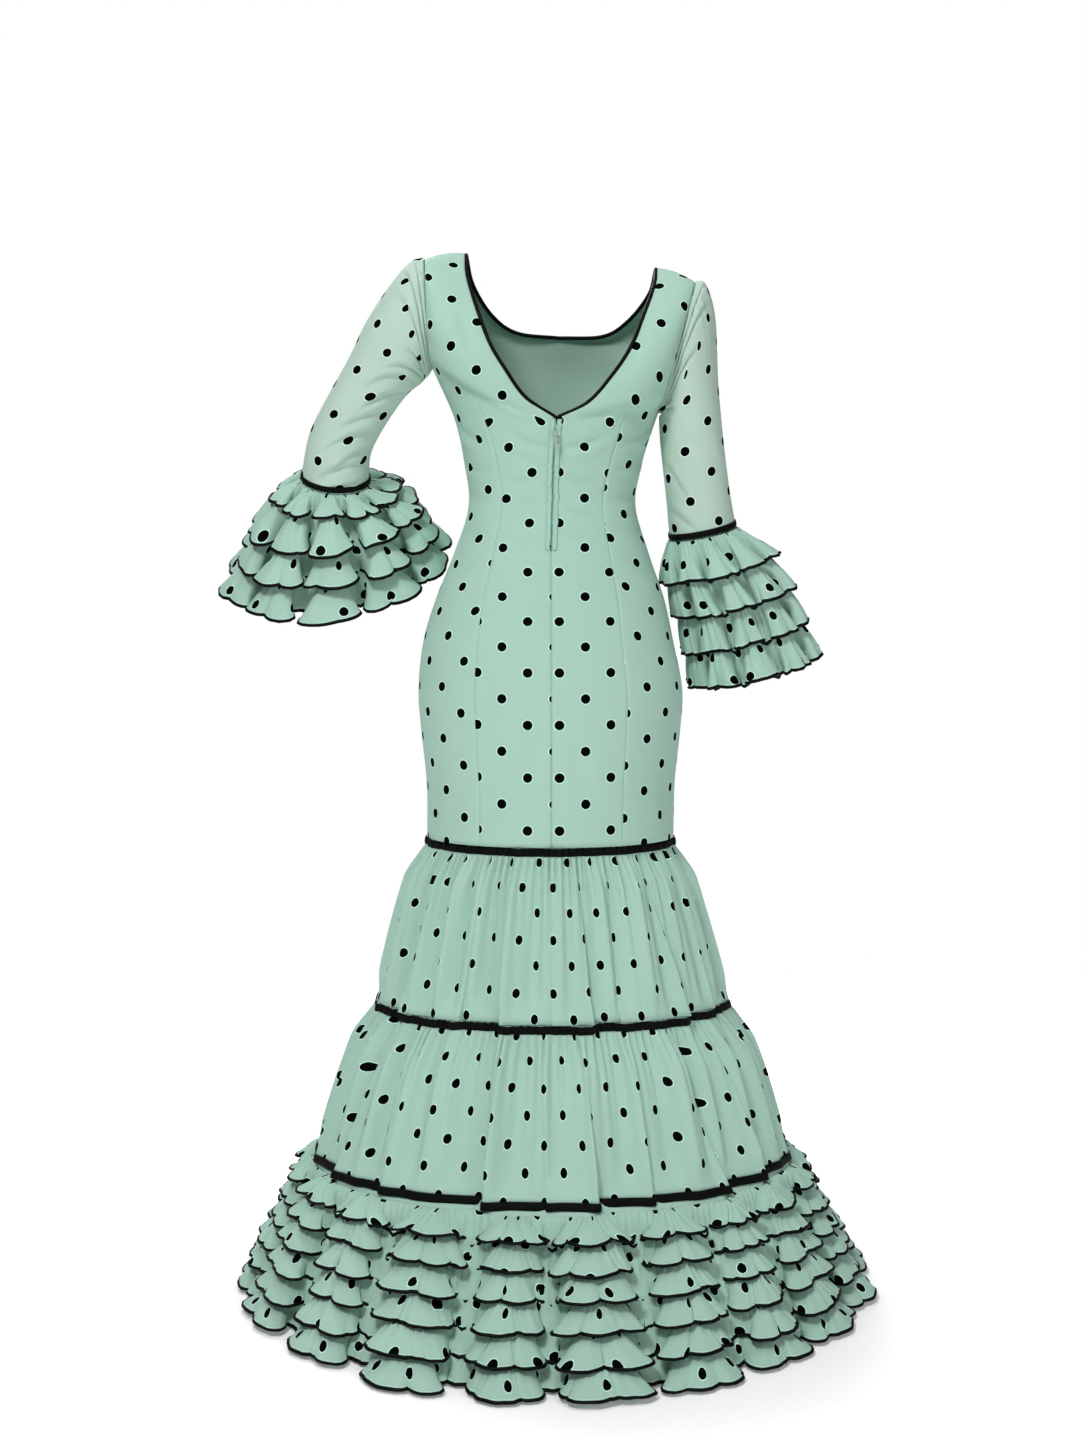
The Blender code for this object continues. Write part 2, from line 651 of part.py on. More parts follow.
def make_tier(name, band, table):
    rows = [tier_row(row) for row in table]
    sheet(name, rows, True, "dress_cloth")
    sheet(band, ribbon_rows(rows[0], rows[1]), True, "black_ribbon", RIBBON)


def hem_place(height, turn, off):
    first, second = HEM[0], HEM[1]
    mix = (first[0] - height) / (first[0] - second[0])
    row = [a + (b - a) * mix for a, b in zip(first, second)]
    point = skirt_point(row, turn, 1.0)
    return point + Vector((point.x, point.y, 0)).normalized() * off


def make_hem():
    valleys, _ = fold_turns(HEM_FOLDS)
    edges = [HEM_EDGES - HEM_STEP * k for k in range(HEM_RUFFLES)]
    tops = [HEM_TOP] + [edge + HEM_LAP for edge in edges[:-1]]
    levels = [HEM[0][0]] + tops + [edges[-1] + 0.012]
    base = [base_row(hem_place, level, valleys, 0.0) for level in levels]
    sheet("hem_base", base, True, "dress_cloth")
    sheet("band_hem", ribbon_rows(base[0], base[1]), True, "black_ribbon", RIBBON)
    for k in range(HEM_RUFFLES):
        reach = HEM_REACH[0] + (HEM_REACH[1] - HEM_REACH[0]) * k / (HEM_RUFFLES - 1)
        top = tops[k] - (3 * GAP if k == 0 else 0.0)
        rows = ruffle_rows(hem_place, top, edges[k], HEM_FOLDS, reach)
        make_ruffle(f"hem_ruffle_{k + 1}", f"hem_edging_{k + 1}", "dress_cloth", rows)


# ---------------------------------------------------------------- the dress
clear_scene()
DRESS = bpy.data.collections.new("flamenco_dress")
CUTTERS = bpy.data.collections.new("cutters")
bpy.context.scene.collection.children.link(DRESS)
bpy.context.scene.collection.children.link(CUTTERS)
MATERIALS = {name: make_material(name) for name in COLOURS}

make_front_centre()
make_piping()
for wearer_side in ("left", "right"):
    make_back_centre(wearer_side)
    make_side_panel("back", wearer_side)
    make_side_panel("front", wearer_side)
    make_zip_tape(wearer_side)
    make_sleeve(wearer_side)
    make_bell(wearer_side)
make_slider()
make_pull()
make_tier("skirt_tier_1", "band_knee", TIER_1)
make_tier("skirt_tier_2", "band_middle", TIER_2)
make_hem()
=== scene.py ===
"""Looks of the worn flamenco dress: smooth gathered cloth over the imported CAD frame.

The tables repeat the part's own construction sizes, in metres above the floor that the wearer
stands on; SHOULDER_HEIGHT takes them to the frame, whose origin is on the shoulder line.
"""
import functools
import math

import bmesh
import bpy
import numpy as np
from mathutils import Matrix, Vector


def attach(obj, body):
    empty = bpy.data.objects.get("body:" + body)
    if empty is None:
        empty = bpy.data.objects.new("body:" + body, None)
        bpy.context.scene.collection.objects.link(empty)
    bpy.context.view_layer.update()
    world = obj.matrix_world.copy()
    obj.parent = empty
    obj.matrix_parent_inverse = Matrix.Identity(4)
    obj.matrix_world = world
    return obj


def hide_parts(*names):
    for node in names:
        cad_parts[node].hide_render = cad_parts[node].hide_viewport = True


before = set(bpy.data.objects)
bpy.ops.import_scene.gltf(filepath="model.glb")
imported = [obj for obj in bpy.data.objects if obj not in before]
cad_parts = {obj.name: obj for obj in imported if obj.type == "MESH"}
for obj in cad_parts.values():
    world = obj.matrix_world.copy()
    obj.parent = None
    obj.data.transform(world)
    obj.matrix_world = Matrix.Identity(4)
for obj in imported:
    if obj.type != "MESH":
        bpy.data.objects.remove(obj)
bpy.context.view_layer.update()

SHOULDER_HEIGHT = 1.440
CLOTH = 0.0012
BODY = "dress"
SIGN = {"left": 1, "right": -1}  # of x on each side of the wearer

# ---------------------------------------------------------------- form, as in the part's source
SHEATH_COLUMNS = ("left_x", "left_z", "right_x", "right_z", "back_y", "back_z", "front_y", "front_z",
                  "middle_x", "back_seam", "front_seam")
SHEATH = [
    (0.179, 0.632, -0.177, 0.632, 0.168, 0.632, -0.128, 0.632, 0.000, 0.36, 0.38),
    (0.180, 0.710, -0.179, 0.710, 0.162, 0.710, -0.129, 0.710, 0.000, 0.36, 0.38),
    (0.188, 0.785, -0.187, 0.785, 0.156, 0.785, -0.127, 0.785, 0.000, 0.36, 0.38),
    (0.192, 0.845, -0.190, 0.845, 0.150, 0.845, -0.123, 0.845, 0.000, 0.36, 0.38),
    (0.185, 0.914, -0.177, 0.914, 0.139, 0.914, -0.117, 0.914, 0.000, 0.36, 0.38),
    (0.167, 0.975, -0.164, 0.975, 0.122, 0.975, -0.111, 0.975, 0.000, 0.37, 0.38),
    (0.140, 1.043, -0.141, 1.043, 0.102, 1.043, -0.101, 1.043, 0.000, 0.38, 0.39),
    (0.119, 1.112, -0.122, 1.112, 0.088, 1.110, -0.092, 1.112, -0.002, 0.39, 0.40),
    (0.126, 1.178, -0.131, 1.170, 0.091, 1.158, -0.108, 1.168, -0.003, 0.41, 0.42),
    (0.140, 1.240, -0.143, 1.212, 0.096, 1.194, -0.128, 1.216, -0.005, 0.43, 0.44),
    (0.172, 1.313, -0.156, 1.249, 0.100, 1.228, -0.127, 1.275, -0.007, 0.46, 0.46),
]
SQUARENESS = 0.93            # power of the rings' sines: 1 is an ellipse, and less is squarer
NECK_COLUMNS = ("left_x", "left_z", "right_x", "right_z", "y")
NECK_BACK = [
    (-0.007, 1.228, -0.007, 1.228, 0.100),
    (0.037, 1.257, -0.052, 1.250, 0.103),
    (0.066, 1.297, -0.087, 1.289, 0.102),
    (0.088, 1.335, -0.113, 1.329, 0.093),
    (0.106, 1.384, -0.132, 1.375, 0.073),
    (0.122, 1.440, -0.150, 1.427, 0.036),
    (0.1256, 1.4796, -0.1548, 1.4584, 0.0),
]
NECK_FRONT = [
    (-0.007, 1.275, -0.007, 1.275, -0.127),
    (-0.010, 1.325, -0.010, 1.325, -0.121),
    (-0.013, 1.372, -0.013, 1.372, -0.106),
    (0.052, 1.378, -0.080, 1.373, -0.095),
    (0.090, 1.402, -0.118, 1.394, -0.075),
    (0.117, 1.442, -0.147, 1.428, -0.038),
    (0.1256, 1.4796, -0.1548, 1.4584, 0.0),
]
YOKE_ROWS = len(NECK_BACK) - 1
UNDERARM_ROW = len(SHEATH) - 1
SCOOP_ROW = UNDERARM_ROW + 2
SEAM_ROWS = 2                # yoke rows over which a princess seam reaches the armhole
TIP = 0.03
SHOULDER_ARCH = 0.004
SLEEVE_COLUMNS = ("x", "y", "z", "lean", "pitch", "up", "side")
SLEEVES = {
    "left": [
        (0.178, 0, 1.392, 4, 0, 0.079, 0.059),
        (0.191, 0, 1.385, 8, 0, 0.082, 0.062),
        (0.206, 0, 1.37, 17, 0, 0.074, 0.06),
        (0.229, 0, 1.337, 40, 2, 0.059, 0.056),
        (0.254, -0.002, 1.3, 54, 4, 0.0485, 0.051),
        (0.286, -0.006, 1.249, 57, 8, 0.0455, 0.048),
        (0.309, -0.015, 1.205, 68, 17, 0.046, 0.047),
        (0.317, -0.027, 1.164, 82, 26, 0.048, 0.048),
        (0.318, -0.031, 1.1535, 84, 28, 0.049, 0.049),
    ],
    "right": [
        (-0.183, 0, 1.3435, 16, 0, 0.098, 0.059),
        (-0.1945, 0, 1.34, 18, 0, 0.098, 0.062),
        (-0.1995, 0, 1.3125, 28, 0, 0.083, 0.06),
        (-0.201, 0, 1.265, 59, 0, 0.049, 0.054),
        (-0.2055, -0.002, 1.208, 80, 3, 0.045, 0.049),
        (-0.2145, -0.01, 1.135, 80, 8, 0.0455, 0.0465),
        (-0.2215, -0.018, 1.085, 79, 10, 0.0475, 0.0475),
        (-0.223, -0.02, 1.0745, 78, 10, 0.048, 0.048),
    ],
}
BELL_COLUMNS = ("x", "y", "z", "lean", "pitch", "base", "reach")
BELLS = {
    "left": [
        (0.3183, -0.0325, 1.1512, 84, 28, 0.0492, 0.051),
        (0.3185, -0.042, 1.135, 91, 29, 0.056, 0.093),
        (0.319, -0.06, 1.103, 98, 30, 0.078, 0.129),
        (0.32, -0.082, 1.068, 98, 30, 0.099, 0.154),
        (0.3205, -0.102, 1.03, 98, 30, 0.122, 0.176),
    ],
    "right": [
        (-0.2234, -0.0205, 1.072, 78, 10, 0.0482, 0.05),
        (-0.246, -0.027, 1.023, 75, 10, 0.056, 0.087),
        (-0.268, -0.034, 0.975, 75, 10, 0.062, 0.092),
        (-0.285, -0.041, 0.924, 75, 10, 0.067, 0.096),
        (-0.3, -0.048, 0.876, 75, 10, 0.072, 0.101),
    ],
}
BELL_SEAT = 0.30
SKIRT_COLUMNS = ("z", "left", "right", "back", "front")
TIER_1 = [
    (0.6312, 0.179, 0.177, 0.168, 0.128),
    (0.6190, 0.180, 0.178, 0.169, 0.129),
    (0.5750, 0.206, 0.204, 0.187, 0.150),
    (0.3980, 0.253, 0.255, 0.213, 0.205),
]
TIER_2 = [
    (0.3972, 0.253, 0.255, 0.213, 0.205),
    (0.3860, 0.256, 0.258, 0.215, 0.207),
    (0.3300, 0.292, 0.296, 0.244, 0.235),
    (0.1840, 0.341, 0.343, 0.304, 0.295),
]
HEM = [
    (0.1832, 0.340, 0.342, 0.303, 0.294),
    (0.0000, 0.416, 0.426, 0.470, 0.395),
]
HEM_INSET = 0.014            # how far the hem's own surface lies inside its rings
FOLD_COLUMNS = ("degrees", "reach")
HEM_FOLDS = [
    (8, 0.95), (26, 1.05), (44, 0.95), (64, 1.10), (82, 1.00),
    (98, 1.20), (116, 1.05), (132, 0.95), (148, 1.00), (166, 1.10),
    (185, 0.95), (203, 1.05), (222, 1.00), (241, 1.10), (258, 0.95),
    (276, 1.05), (294, 1.00), (312, 1.10), (330, 0.95), (348, 1.05),
]
RIBBON_SKIRT = 0.0112
RIBBON_SLEEVE = 0.0090
PIPING_RADIUS = 0.0029
BOUND_EDGE = (0.0025, 0.0017)  # half width and half thickness of a ruffle's binding
HEM_RUFFLES = 6
HEM_TOP = 0.1710
HEM_EDGES = 0.1490
HEM_STEP = 0.0285
HEM_LAP = 0.0110
HEM_REACH = (0.030, 0.046)
TAPE_WIDTH = 0.0050
ZIP_ROWS = (6, 10)           # the rows of the sheath's table that the zip runs between
ZIP_GAP = 0.0011
RUFFLE_FULLNESS = 1.20       # flat cloth to the free edge's own length
TIER_FULLNESS = 1.32
CLOTH_HELD = 0.72            # the least share of a flat strip that its gathered form shows

# ---------------------------------------------------------------- looks
DOT_RADIUS = 0.0068
DOT_HALO = 0.0013
DOT_PITCH = 0.0725           # both ways, with a second dot in the middle of each square
STITCH = (0.0030, 0.0044)    # the pale line of stitches above a bound edge, from the edge


# ---------------------------------------------------------------- camera and studio
AMBIENT = 0.13


def make_camera():
    """A level camera behind the wearer, at hip height, its picture lowered to take in the hem."""
    data = bpy.data.cameras.new("camera")
    data.sensor_fit = "VERTICAL"
    data.sensor_height = 36.0
    data.lens = 47.66
    data.shift_y = -0.0718
    camera = bpy.data.objects.new("camera", data)
    camera.location = (0.0117, 2.80, 0.945 - SHOULDER_HEIGHT)
    camera.rotation_euler = (math.radians(90), 0, math.radians(180))
    bpy.context.scene.collection.objects.link(camera)
    bpy.context.scene.camera = camera


LAMP_COLUMNS = ("name", "place", "target", "size", "power")
LAMPS = [
    ("key", (1.2, 2.6, 2.0), (0, 0, -0.6), 0.8, 85),
    ("fill", (-2.2, 2.8, 0.3), (0, 0, -0.6), 1.2, 22),
    ("front_key", (1.0, -2.6, 1.8), (0, 0, -0.6), 1.2, 60),
    ("floor_wash", (0, 0.4, 3.2), (0, 0.2, -1.4), 3.6, 62),
]


def make_lamp(name, place, target, size, power):
    data = bpy.data.lights.new(name, "AREA")
    data.shape = "SQUARE"
    data.size = size
    data.energy = power
    lamp = bpy.data.objects.new(name, data)
    lamp.location = place
    lamp.rotation_euler = (Vector(target) - Vector(place)).to_track_quat("-Z", "Y").to_euler()
    bpy.context.scene.collection.objects.link(lamp)


def make_studio():
    """White studio: the wall behind is brighter to the camera than the light that it gives."""
    scene = bpy.context.scene
    scene.view_settings.view_transform = "Standard"
    world = bpy.data.worlds.new("studio")
    world.use_nodes = True
    tree = world.node_tree
    background = tree.nodes["Background"]
    background.inputs["Color"].default_value = (1, 1, 1, 1)
    path = tree.nodes.new("ShaderNodeLightPath")
    strength = tree.nodes.new("ShaderNodeMapRange")
    strength.inputs["To Min"].default_value = AMBIENT
    strength.inputs["To Max"].default_value = 1.0
    tree.links.new(path.outputs["Is Camera Ray"], strength.inputs["Value"])
    tree.links.new(strength.outputs["Result"], background.inputs["Strength"])
    scene.world = world
    for row in LAMPS:
        make_lamp(**named(LAMP_COLUMNS, row))
    bpy.ops.mesh.primitive_plane_add(size=4.6, location=(0, 0.1, -SHOULDER_HEIGHT))
    floor = bpy.context.object
    floor.name = "floor"
    floor.data.materials.append(floor_material())


def floor_material():
    """White paper sweep that glows, lifted to clean white away from the hem: painted light, its glow weak by
    the hem so that the cast shadow there shows.
    """
    nodes = Nodes("floor_paper")
    away = nodes.vector("LENGTH", nodes.place())
    painted_glow = nodes.ramp(away, 0.35, 1.00)
    # painted light: the floor's own glow, weak by the hem and strong away from it
    lift = nodes.math("ADD", nodes.math("MULTIPLY", painted_glow, 0.72), 0.13)
    nodes.set({"Emission Strength": lift, "Emission Color": (1, 1, 1, 1),
               "Base Color": (0.90, 0.90, 0.90, 1), "Roughness": 0.9, "Specular IOR Level": 0.1})
    return nodes.material


# ---------------------------------------------------------------- materials
class Nodes:
    """Short names for adding shader nodes and links."""

    def __init__(self, name):
        self.material = bpy.data.materials.new(name)
        self.material.use_nodes = True
        self.tree = self.material.node_tree
        self.shader = self.tree.nodes["Principled BSDF"]

    def add(self, kind, **values):
        node = self.tree.nodes.new(kind)
        for key, value in values.items():
            setattr(node, key, value)
        return node

    def link(self, source, target):
        self.tree.links.new(source, target)

    def fill(self, socket, value):
        """Link a node's output to the socket, or set it to a plain value."""
        if isinstance(value, bpy.types.NodeSocket):
            self.link(value, socket)
        else:
            socket.default_value = value

    def set(self, values):
        for name, value in values.items():
            self.fill(self.shader.inputs[name], value)

    def math(self, operation, first, second):
        node = self.add("ShaderNodeMath", operation=operation)
        self.fill(node.inputs[0], first)
        self.fill(node.inputs[1], second)
        return node.outputs[0]

    def vector(self, operation, first, second=None):
        node = self.add("ShaderNodeVectorMath", operation=operation)
        self.link(first, node.inputs[0])
        if second is not None:
            node.inputs[1].default_value = second
        return node.outputs["Value" if operation == "LENGTH" else "Vector"]

    def ramp(self, value, low, high):
        """0 below low and 1 above high, with a smooth rise."""
        node = self.add("ShaderNodeMapRange", interpolation_type="SMOOTHSTEP")
        self.link(value, node.inputs["Value"])
        node.inputs["From Min"].default_value = low
        node.inputs["From Max"].default_value = high
        return node.outputs["Result"]

    def mix(self, share, first, second):
        node = self.add("ShaderNodeMix", data_type="RGBA")
        colours = [socket for socket in node.inputs if socket.type == "RGBA"]
        self.link(share, node.inputs[0])
        for socket, value in zip(colours, (first, second)):
            self.fill(socket, (*value, 1.0) if isinstance(value, tuple) else value)
        return [socket for socket in node.outputs if socket.type == "RGBA"][0]

    def noise(self, scale, detail):
        node = self.add("ShaderNodeTexNoise")
        node.inputs["Scale"].default_value = scale
        node.inputs["Detail"].default_value = detail
        self.link(self.place(), node.inputs["Vector"])
        return node.outputs["Fac"]

    def place(self):
        return self.add("ShaderNodeTexCoord").outputs["Object"]

    def bump(self, height, distance, strength):
        node = self.add("ShaderNodeBump")
        node.inputs["Strength"].default_value = strength
        node.inputs["Distance"].default_value = distance
        self.link(height, node.inputs["Height"])
        self.link(node.outputs["Normal"], self.shader.inputs["Normal"])


def dot_distance(nodes, where, offset):
    """Distance from the nearest point of a square lattice, in metres of flat cloth."""
    moved = nodes.vector("ADD", where, (offset, offset, 0))
    scaled = nodes.vector("SCALE", moved)
    scaled.node.inputs["Scale"].default_value = 1 / DOT_PITCH
    cell = nodes.vector("FRACTION", scaled)
    centred = nodes.vector("SUBTRACT", cell, (0.5, 0.5, 0))
    back = nodes.vector("SCALE", centred)
    back.node.inputs["Scale"].default_value = DOT_PITCH
    return nodes.vector("LENGTH", back)


def cloth_material(name, light, shade, sheen):
    """Matt crepe with flocked black dots, each in a thin pale ring, laid out on the flat cloth."""
    nodes = Nodes(name)
    flat = nodes.add("ShaderNodeUVMap", uv_map="cut").outputs["UV"]
    first = dot_distance(nodes, flat, 0.0)
    second = dot_distance(nodes, flat, DOT_PITCH / 2)
    distance = nodes.math("MINIMUM", first, second)
    wobble = nodes.math("MULTIPLY", nodes.noise(420, 2.0), 0.0007)
    distance = nodes.math("ADD", distance, nodes.math("SUBTRACT", wobble, 0.00035))
    outside = nodes.ramp(distance, DOT_RADIUS - 0.0002, DOT_RADIUS + 0.0002)
    beyond = nodes.ramp(distance, DOT_RADIUS + DOT_HALO * 0.6, DOT_RADIUS + DOT_HALO)
    tone = nodes.mix(nodes.noise(5.0, 3.0), light, shade)
    pale = tuple(min(0.9, c * 1.6) for c in light)
    edge = nodes.add("ShaderNodeAttribute", attribute_name="from_edge").outputs["Fac"]
    after = nodes.ramp(edge, STITCH[0] - 0.0002, STITCH[0] + 0.0002)
    before = nodes.ramp(edge, STITCH[1] - 0.0002, STITCH[1] + 0.0002)
    thread = tuple(c * 1.2 for c in light)
    stitched = nodes.mix(nodes.math("SUBTRACT", after, before), tone, thread)
    ringed = nodes.mix(beyond, pale, stitched)
    colour = nodes.mix(outside, (0.0008, 0.0012, 0.0010), ringed)
    gloss = nodes.math("ADD", nodes.math("MULTIPLY", outside, 0.08), 0.02)
    nodes.set({"Base Color": colour, "Roughness": 0.8, "Sheen Roughness": 0.5,
               "Sheen Weight": nodes.math("MULTIPLY", outside, sheen), "Specular IOR Level": gloss})
    weave = nodes.noise(1600, 3.0)
    flock = nodes.math("MULTIPLY", nodes.math("SUBTRACT", 1.0, outside), 1.2)
    nodes.bump(nodes.math("ADD", weave, flock), 0.00025, 0.5)
    return nodes.material


def reverse_material(name, light, shade):
    """The cloth's plain wrong side."""
    nodes = Nodes(name)
    tone = nodes.mix(nodes.noise(5.0, 3.0), light, shade)
    nodes.set({"Base Color": tone, "Roughness": 0.85, "Specular IOR Level": 0.2})
    nodes.bump(nodes.noise(1600, 3.0), 0.00025, 0.5)
    return nodes.material


def ribbon_material(name, roughness, sheen, scale):
    """Black ribbon or binding, with a fine rib across it."""
    nodes = Nodes(name)
    tone = nodes.mix(nodes.noise(60.0, 3.0), (0.0010, 0.0015, 0.0010), (0.003, 0.004, 0.003))
    nodes.set({"Base Color": tone, "Roughness": roughness, "Sheen Weight": sheen,
               "Sheen Roughness": 0.4, "Specular IOR Level": 0.07})
    nodes.bump(nodes.noise(scale, 3.0), 0.0003, 0.6)
    return nodes.material


def tape_material():
    nodes = Nodes("zip_tape_weave")
    tone = nodes.mix(nodes.noise(900.0, 2.0), (0.28, 0.50, 0.41), (0.35, 0.56, 0.465))
    nodes.set({"Base Color": tone, "Roughness": 0.7})
    nodes.bump(nodes.noise(2400.0, 2.0), 0.0003, 0.6)
    return nodes.material


def metal_material():
    """Lacquered pale green metal, its tone mottled at random between a deeper and a paler green."""
    nodes = Nodes("zip_lacquer")
    tone = nodes.mix(nodes.noise(700.0, 3.0), (0.46, 0.62, 0.54), (0.62, 0.72, 0.66))
    nodes.set({"Base Color": tone, "Metallic": 0.55, "Roughness": 0.32})
    nodes.bump(nodes.noise(1800.0, 2.0), 0.0001, 0.4)
    return nodes.material


# ---------------------------------------------------------------- meshes from grids of points
def unit(vectors):
    return vectors / np.maximum(np.linalg.norm(vectors, axis=-1, keepdims=True), 1e-9)


def grid_normals(points, closed):
    """Normals of a grid of points, by rows and columns."""
    down = np.gradient(points, axis=0)
    if closed:
        across = (np.roll(points, -1, axis=1) - np.roll(points, 1, axis=1)) / 2
    else:
        across = np.gradient(points, axis=1)
    return unit(np.cross(across, down))


def facing_out(points, closed, middle):
    """+1 where the grid's normals point away from the middle line, else -1."""
    normals = grid_normals(points, closed)
    away = points - middle
    away[..., 2] = 0
    return 1.0 if (normals * away).sum() > 0 else -1.0


def arc(points, axis):
    """Running length along an axis of a grid."""
    steps = np.linalg.norm(np.diff(points, axis=axis), axis=-1)
    start = np.zeros_like(np.take(steps, [0], axis=axis))
    return np.concatenate([start, np.cumsum(steps, axis=axis)], axis=axis)


def ringed(points):
    """A closed grid with its first column repeated at the end."""
    return np.concatenate([points, points[:, :1]], axis=1)


def new_piece(name, points, faces, materials):
    """A smooth object from points above the floor, moved into the frame."""
    mesh = bpy.data.meshes.new(name)
    mesh.from_pydata(points.reshape(-1, 3) - np.array([0, 0, SHOULDER_HEIGHT]), [], faces)
    mesh.shade_smooth()
    for material in materials:
        mesh.materials.append(material)
    piece = bpy.data.objects.new(name, mesh)
    bpy.context.scene.collection.objects.link(piece)
    return piece


def grid_piece(name, points, materials, cut, closed=False, middle=None, edge=None):
    """A cloth piece from a grid of points, in the cloth's two materials, face and reverse.
    cut is its place on the flat cloth, and edge the distance from its bound edge, in metres.
    A piece with a bound edge is a single layer."""
    rows, columns = points.shape[:2]
    middle = points.reshape(-1, 3).mean(axis=0) if middle is None else np.array(middle)
    flip = facing_out(points, closed, middle) < 0
    below = np.arange(rows - 1)[:, None] * columns
    here = np.arange(columns if closed else columns - 1)[None, :]
    nxt = (here + 1) % columns
    corners = [below + here, below + nxt, below + columns + nxt, below + columns + here]
    faces = np.stack(corners, -1).reshape(-1, 4)
    u, v = cut[..., 0], cut[..., 1]
    quads = [(slice(0, -1), 0), (slice(0, -1), 1), (slice(1, None), 1), (slice(1, None), 0)]
    wide = here.shape[1]
    spots = np.stack([np.stack([u[r, c:c + wide], v[r, c:c + wide]], -1) for r, c in quads], 2)
    spots = spots.reshape(-1, 4, 2)
    if flip:
        faces = faces[:, ::-1]
        spots = spots[:, ::-1]
    piece = new_piece(name, points, faces.tolist(), materials if edge is None else materials[:1])
    layer = piece.data.uv_layers.new(name="cut")
    layer.uv.foreach_set("vector", np.ascontiguousarray(spots, dtype=np.float32).ravel())
    if edge is None:
        wall = piece.modifiers.new("cloth", "SOLIDIFY")
        wall.thickness = CLOTH
        wall.offset = 1.0
        wall.material_offset = 1
    else:
        mark = piece.data.attributes.new("from_edge", "FLOAT", "POINT")
        mark.data.foreach_set("value", np.ascontiguousarray(edge, dtype=np.float32).ravel())
    return piece


def stand_for(piece, node):
    """The piece rides on the dress, in place of the CAD node."""
    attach(piece, BODY)
    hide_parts(node)


def hermite(t):
    """Weights of a cubic's first point and slope, then of its second point and slope."""
    return 2 * t ** 3 - 3 * t ** 2 + 1, t ** 3 - 2 * t ** 2 + t, 3 * t ** 2 - 2 * t ** 3, t ** 3 - t ** 2


def rows_through(control, steps, kink=None, weight=None):
    """Smooth rows through rows of control points.  At the kink row the rows below and above keep
    their own directions where weight is 0, and share one where it is 1."""
    slope = np.gradient(control, axis=0)
    slope[0] = control[1] - control[0]
    slope[-1] = control[-1] - control[-2]
    result = []
    for i in range(len(control) - 1):
        start, end = slope[i].copy(), slope[i + 1].copy()
        chord = control[i + 1] - control[i]
        if kink == i:
            start = chord + (start - chord) * weight
        if kink == i + 1:
            end = chord + (end - chord) * weight
        for t in np.linspace(0, 1, steps, endpoint=False):
            a, b, c, d = hermite(t)
            result.append(a * control[i] + b * start + c * control[i + 1] + d * end)
    result.append(control[-1])
    return np.array(result)


def named(columns, row):
    return dict(zip(columns, row))


# ---------------------------------------------------------------- sheath and bodice
def round_power(value):
    return math.copysign(abs(value) ** SQUARENESS, value)


def ring_point(row, face, side, part):
    ring = named(SHEATH_COLUMNS, SHEATH[row])
    across = round_power(math.sin(part * math.pi / 2))
    along = round_power(math.cos(part * math.pi / 2))
    x = ring["middle_x"] + (ring[side + "_x"] - ring["middle_x"]) * across
    z = ring[face + "_z"] + (ring[side + "_z"] - ring[face + "_z"]) * across ** 2
    return np.array([x, ring[face + "_y"] * along, z])


def neck_point(face, side, row):
    edge = named(NECK_COLUMNS, (NECK_BACK if face == "back" else NECK_FRONT)[row])
    return np.array([edge[side + "_x"], edge["y"], edge[side + "_z"]])


def ring_frame(lean, pitch, side):
    """A ring's two directions: up its own plane, and backwards across it; then its axis."""
    lean, pitch = math.radians(lean), math.radians(pitch)
    upward = np.array([math.sin(lean) * SIGN[side], 0, math.cos(lean)])
    axis = np.array([math.cos(lean) * SIGN[side], 0, -math.sin(lean)])
    backward = np.array([0, 1.0, 0])
    return (upward, backward * math.cos(pitch) + axis * math.sin(pitch),
            axis * math.cos(pitch) - backward * math.sin(pitch))


def ring_middle(ring):
    return np.array([ring["x"], ring["y"], ring["z"]])


def armhole_point(face, side, part):
    ring = named(SLEEVE_COLUMNS, SLEEVES[side][0])
    upward, backward, _ = ring_frame(ring["lean"], ring["pitch"], side)
    angle = math.pi * (1 - part)
    turn = math.sin(angle) * (1 if face == "back" else -1)
    return ring_middle(ring) + upward * ring["up"] * math.cos(angle) + backward * ring["side"] * turn


def lerp(first, second, share):
    return first + (second - first) * share


def shoulder_point(side, part):
    line = lerp(neck_point("back", side, YOKE_ROWS), armhole_point("back", side, 1), part)
    return line + np.array([0, 0, SHOULDER_ARCH * math.sin(math.pi * part)])


def yoke_point(face, side, row, part):
    rise = row / YOKE_ROWS
    low, high = ring_point(UNDERARM_ROW, face, side, part), shoulder_point(side, part)
    inner, outer = neck_point(face, side, row), armhole_point(face, side, rise)
    below = lerp(ring_point(UNDERARM_ROW, face, side, 0), ring_point(UNDERARM_ROW, face, side, 1), part)
    above = lerp(shoulder_point(side, 0), shoulder_point(side, 1), part)
    return lerp(low, high, rise) + lerp(inner, outer, part) - lerp(below, above, rise)


def bodice_point(face, side, row, part):
    if row <= UNDERARM_ROW:
        return ring_point(row, face, side, part)
    return yoke_point(face, side, row - UNDERARM_ROW, part)


def seam_part(face, row):
    above = row - UNDERARM_ROW
    start = named(SHEATH_COLUMNS, SHEATH[min(row, UNDERARM_ROW)])[face + "_seam"]
    if above <= 0:
        return start
    return 1.0 if above > SEAM_ROWS else start + (1.0 - TIP - start) * above / SEAM_ROWS


ROW_STEPS = 10               # rows of the fine mesh between two rows of the tables
EDGE_SPREAD = (0.0, 0.008, 0.018, 0.035, 0.06)


def panel_spread(count):
    """Columns across a panel, from 0 to 1, closer together at both seams."""
    middle = np.linspace(0.1, 0.9, count)
    start = np.array(EDGE_SPREAD)
    return np.concatenate([start, middle, 1 - start[::-1]])


def panel_grid(face, side, last_row, inner, outer, count):
    """A panel's fine grid: inner and outer give its edges' parts for each row of the tables."""
    spread = panel_spread(count)
    control = []
    for row in range(last_row + 1):
        low, high = inner(row), outer(row)
        control.append([bodice_point(face, side, row, low + (high - low) * s) for s in spread])
    return np.array(control)


ROLL_WIDTH = 0.0016


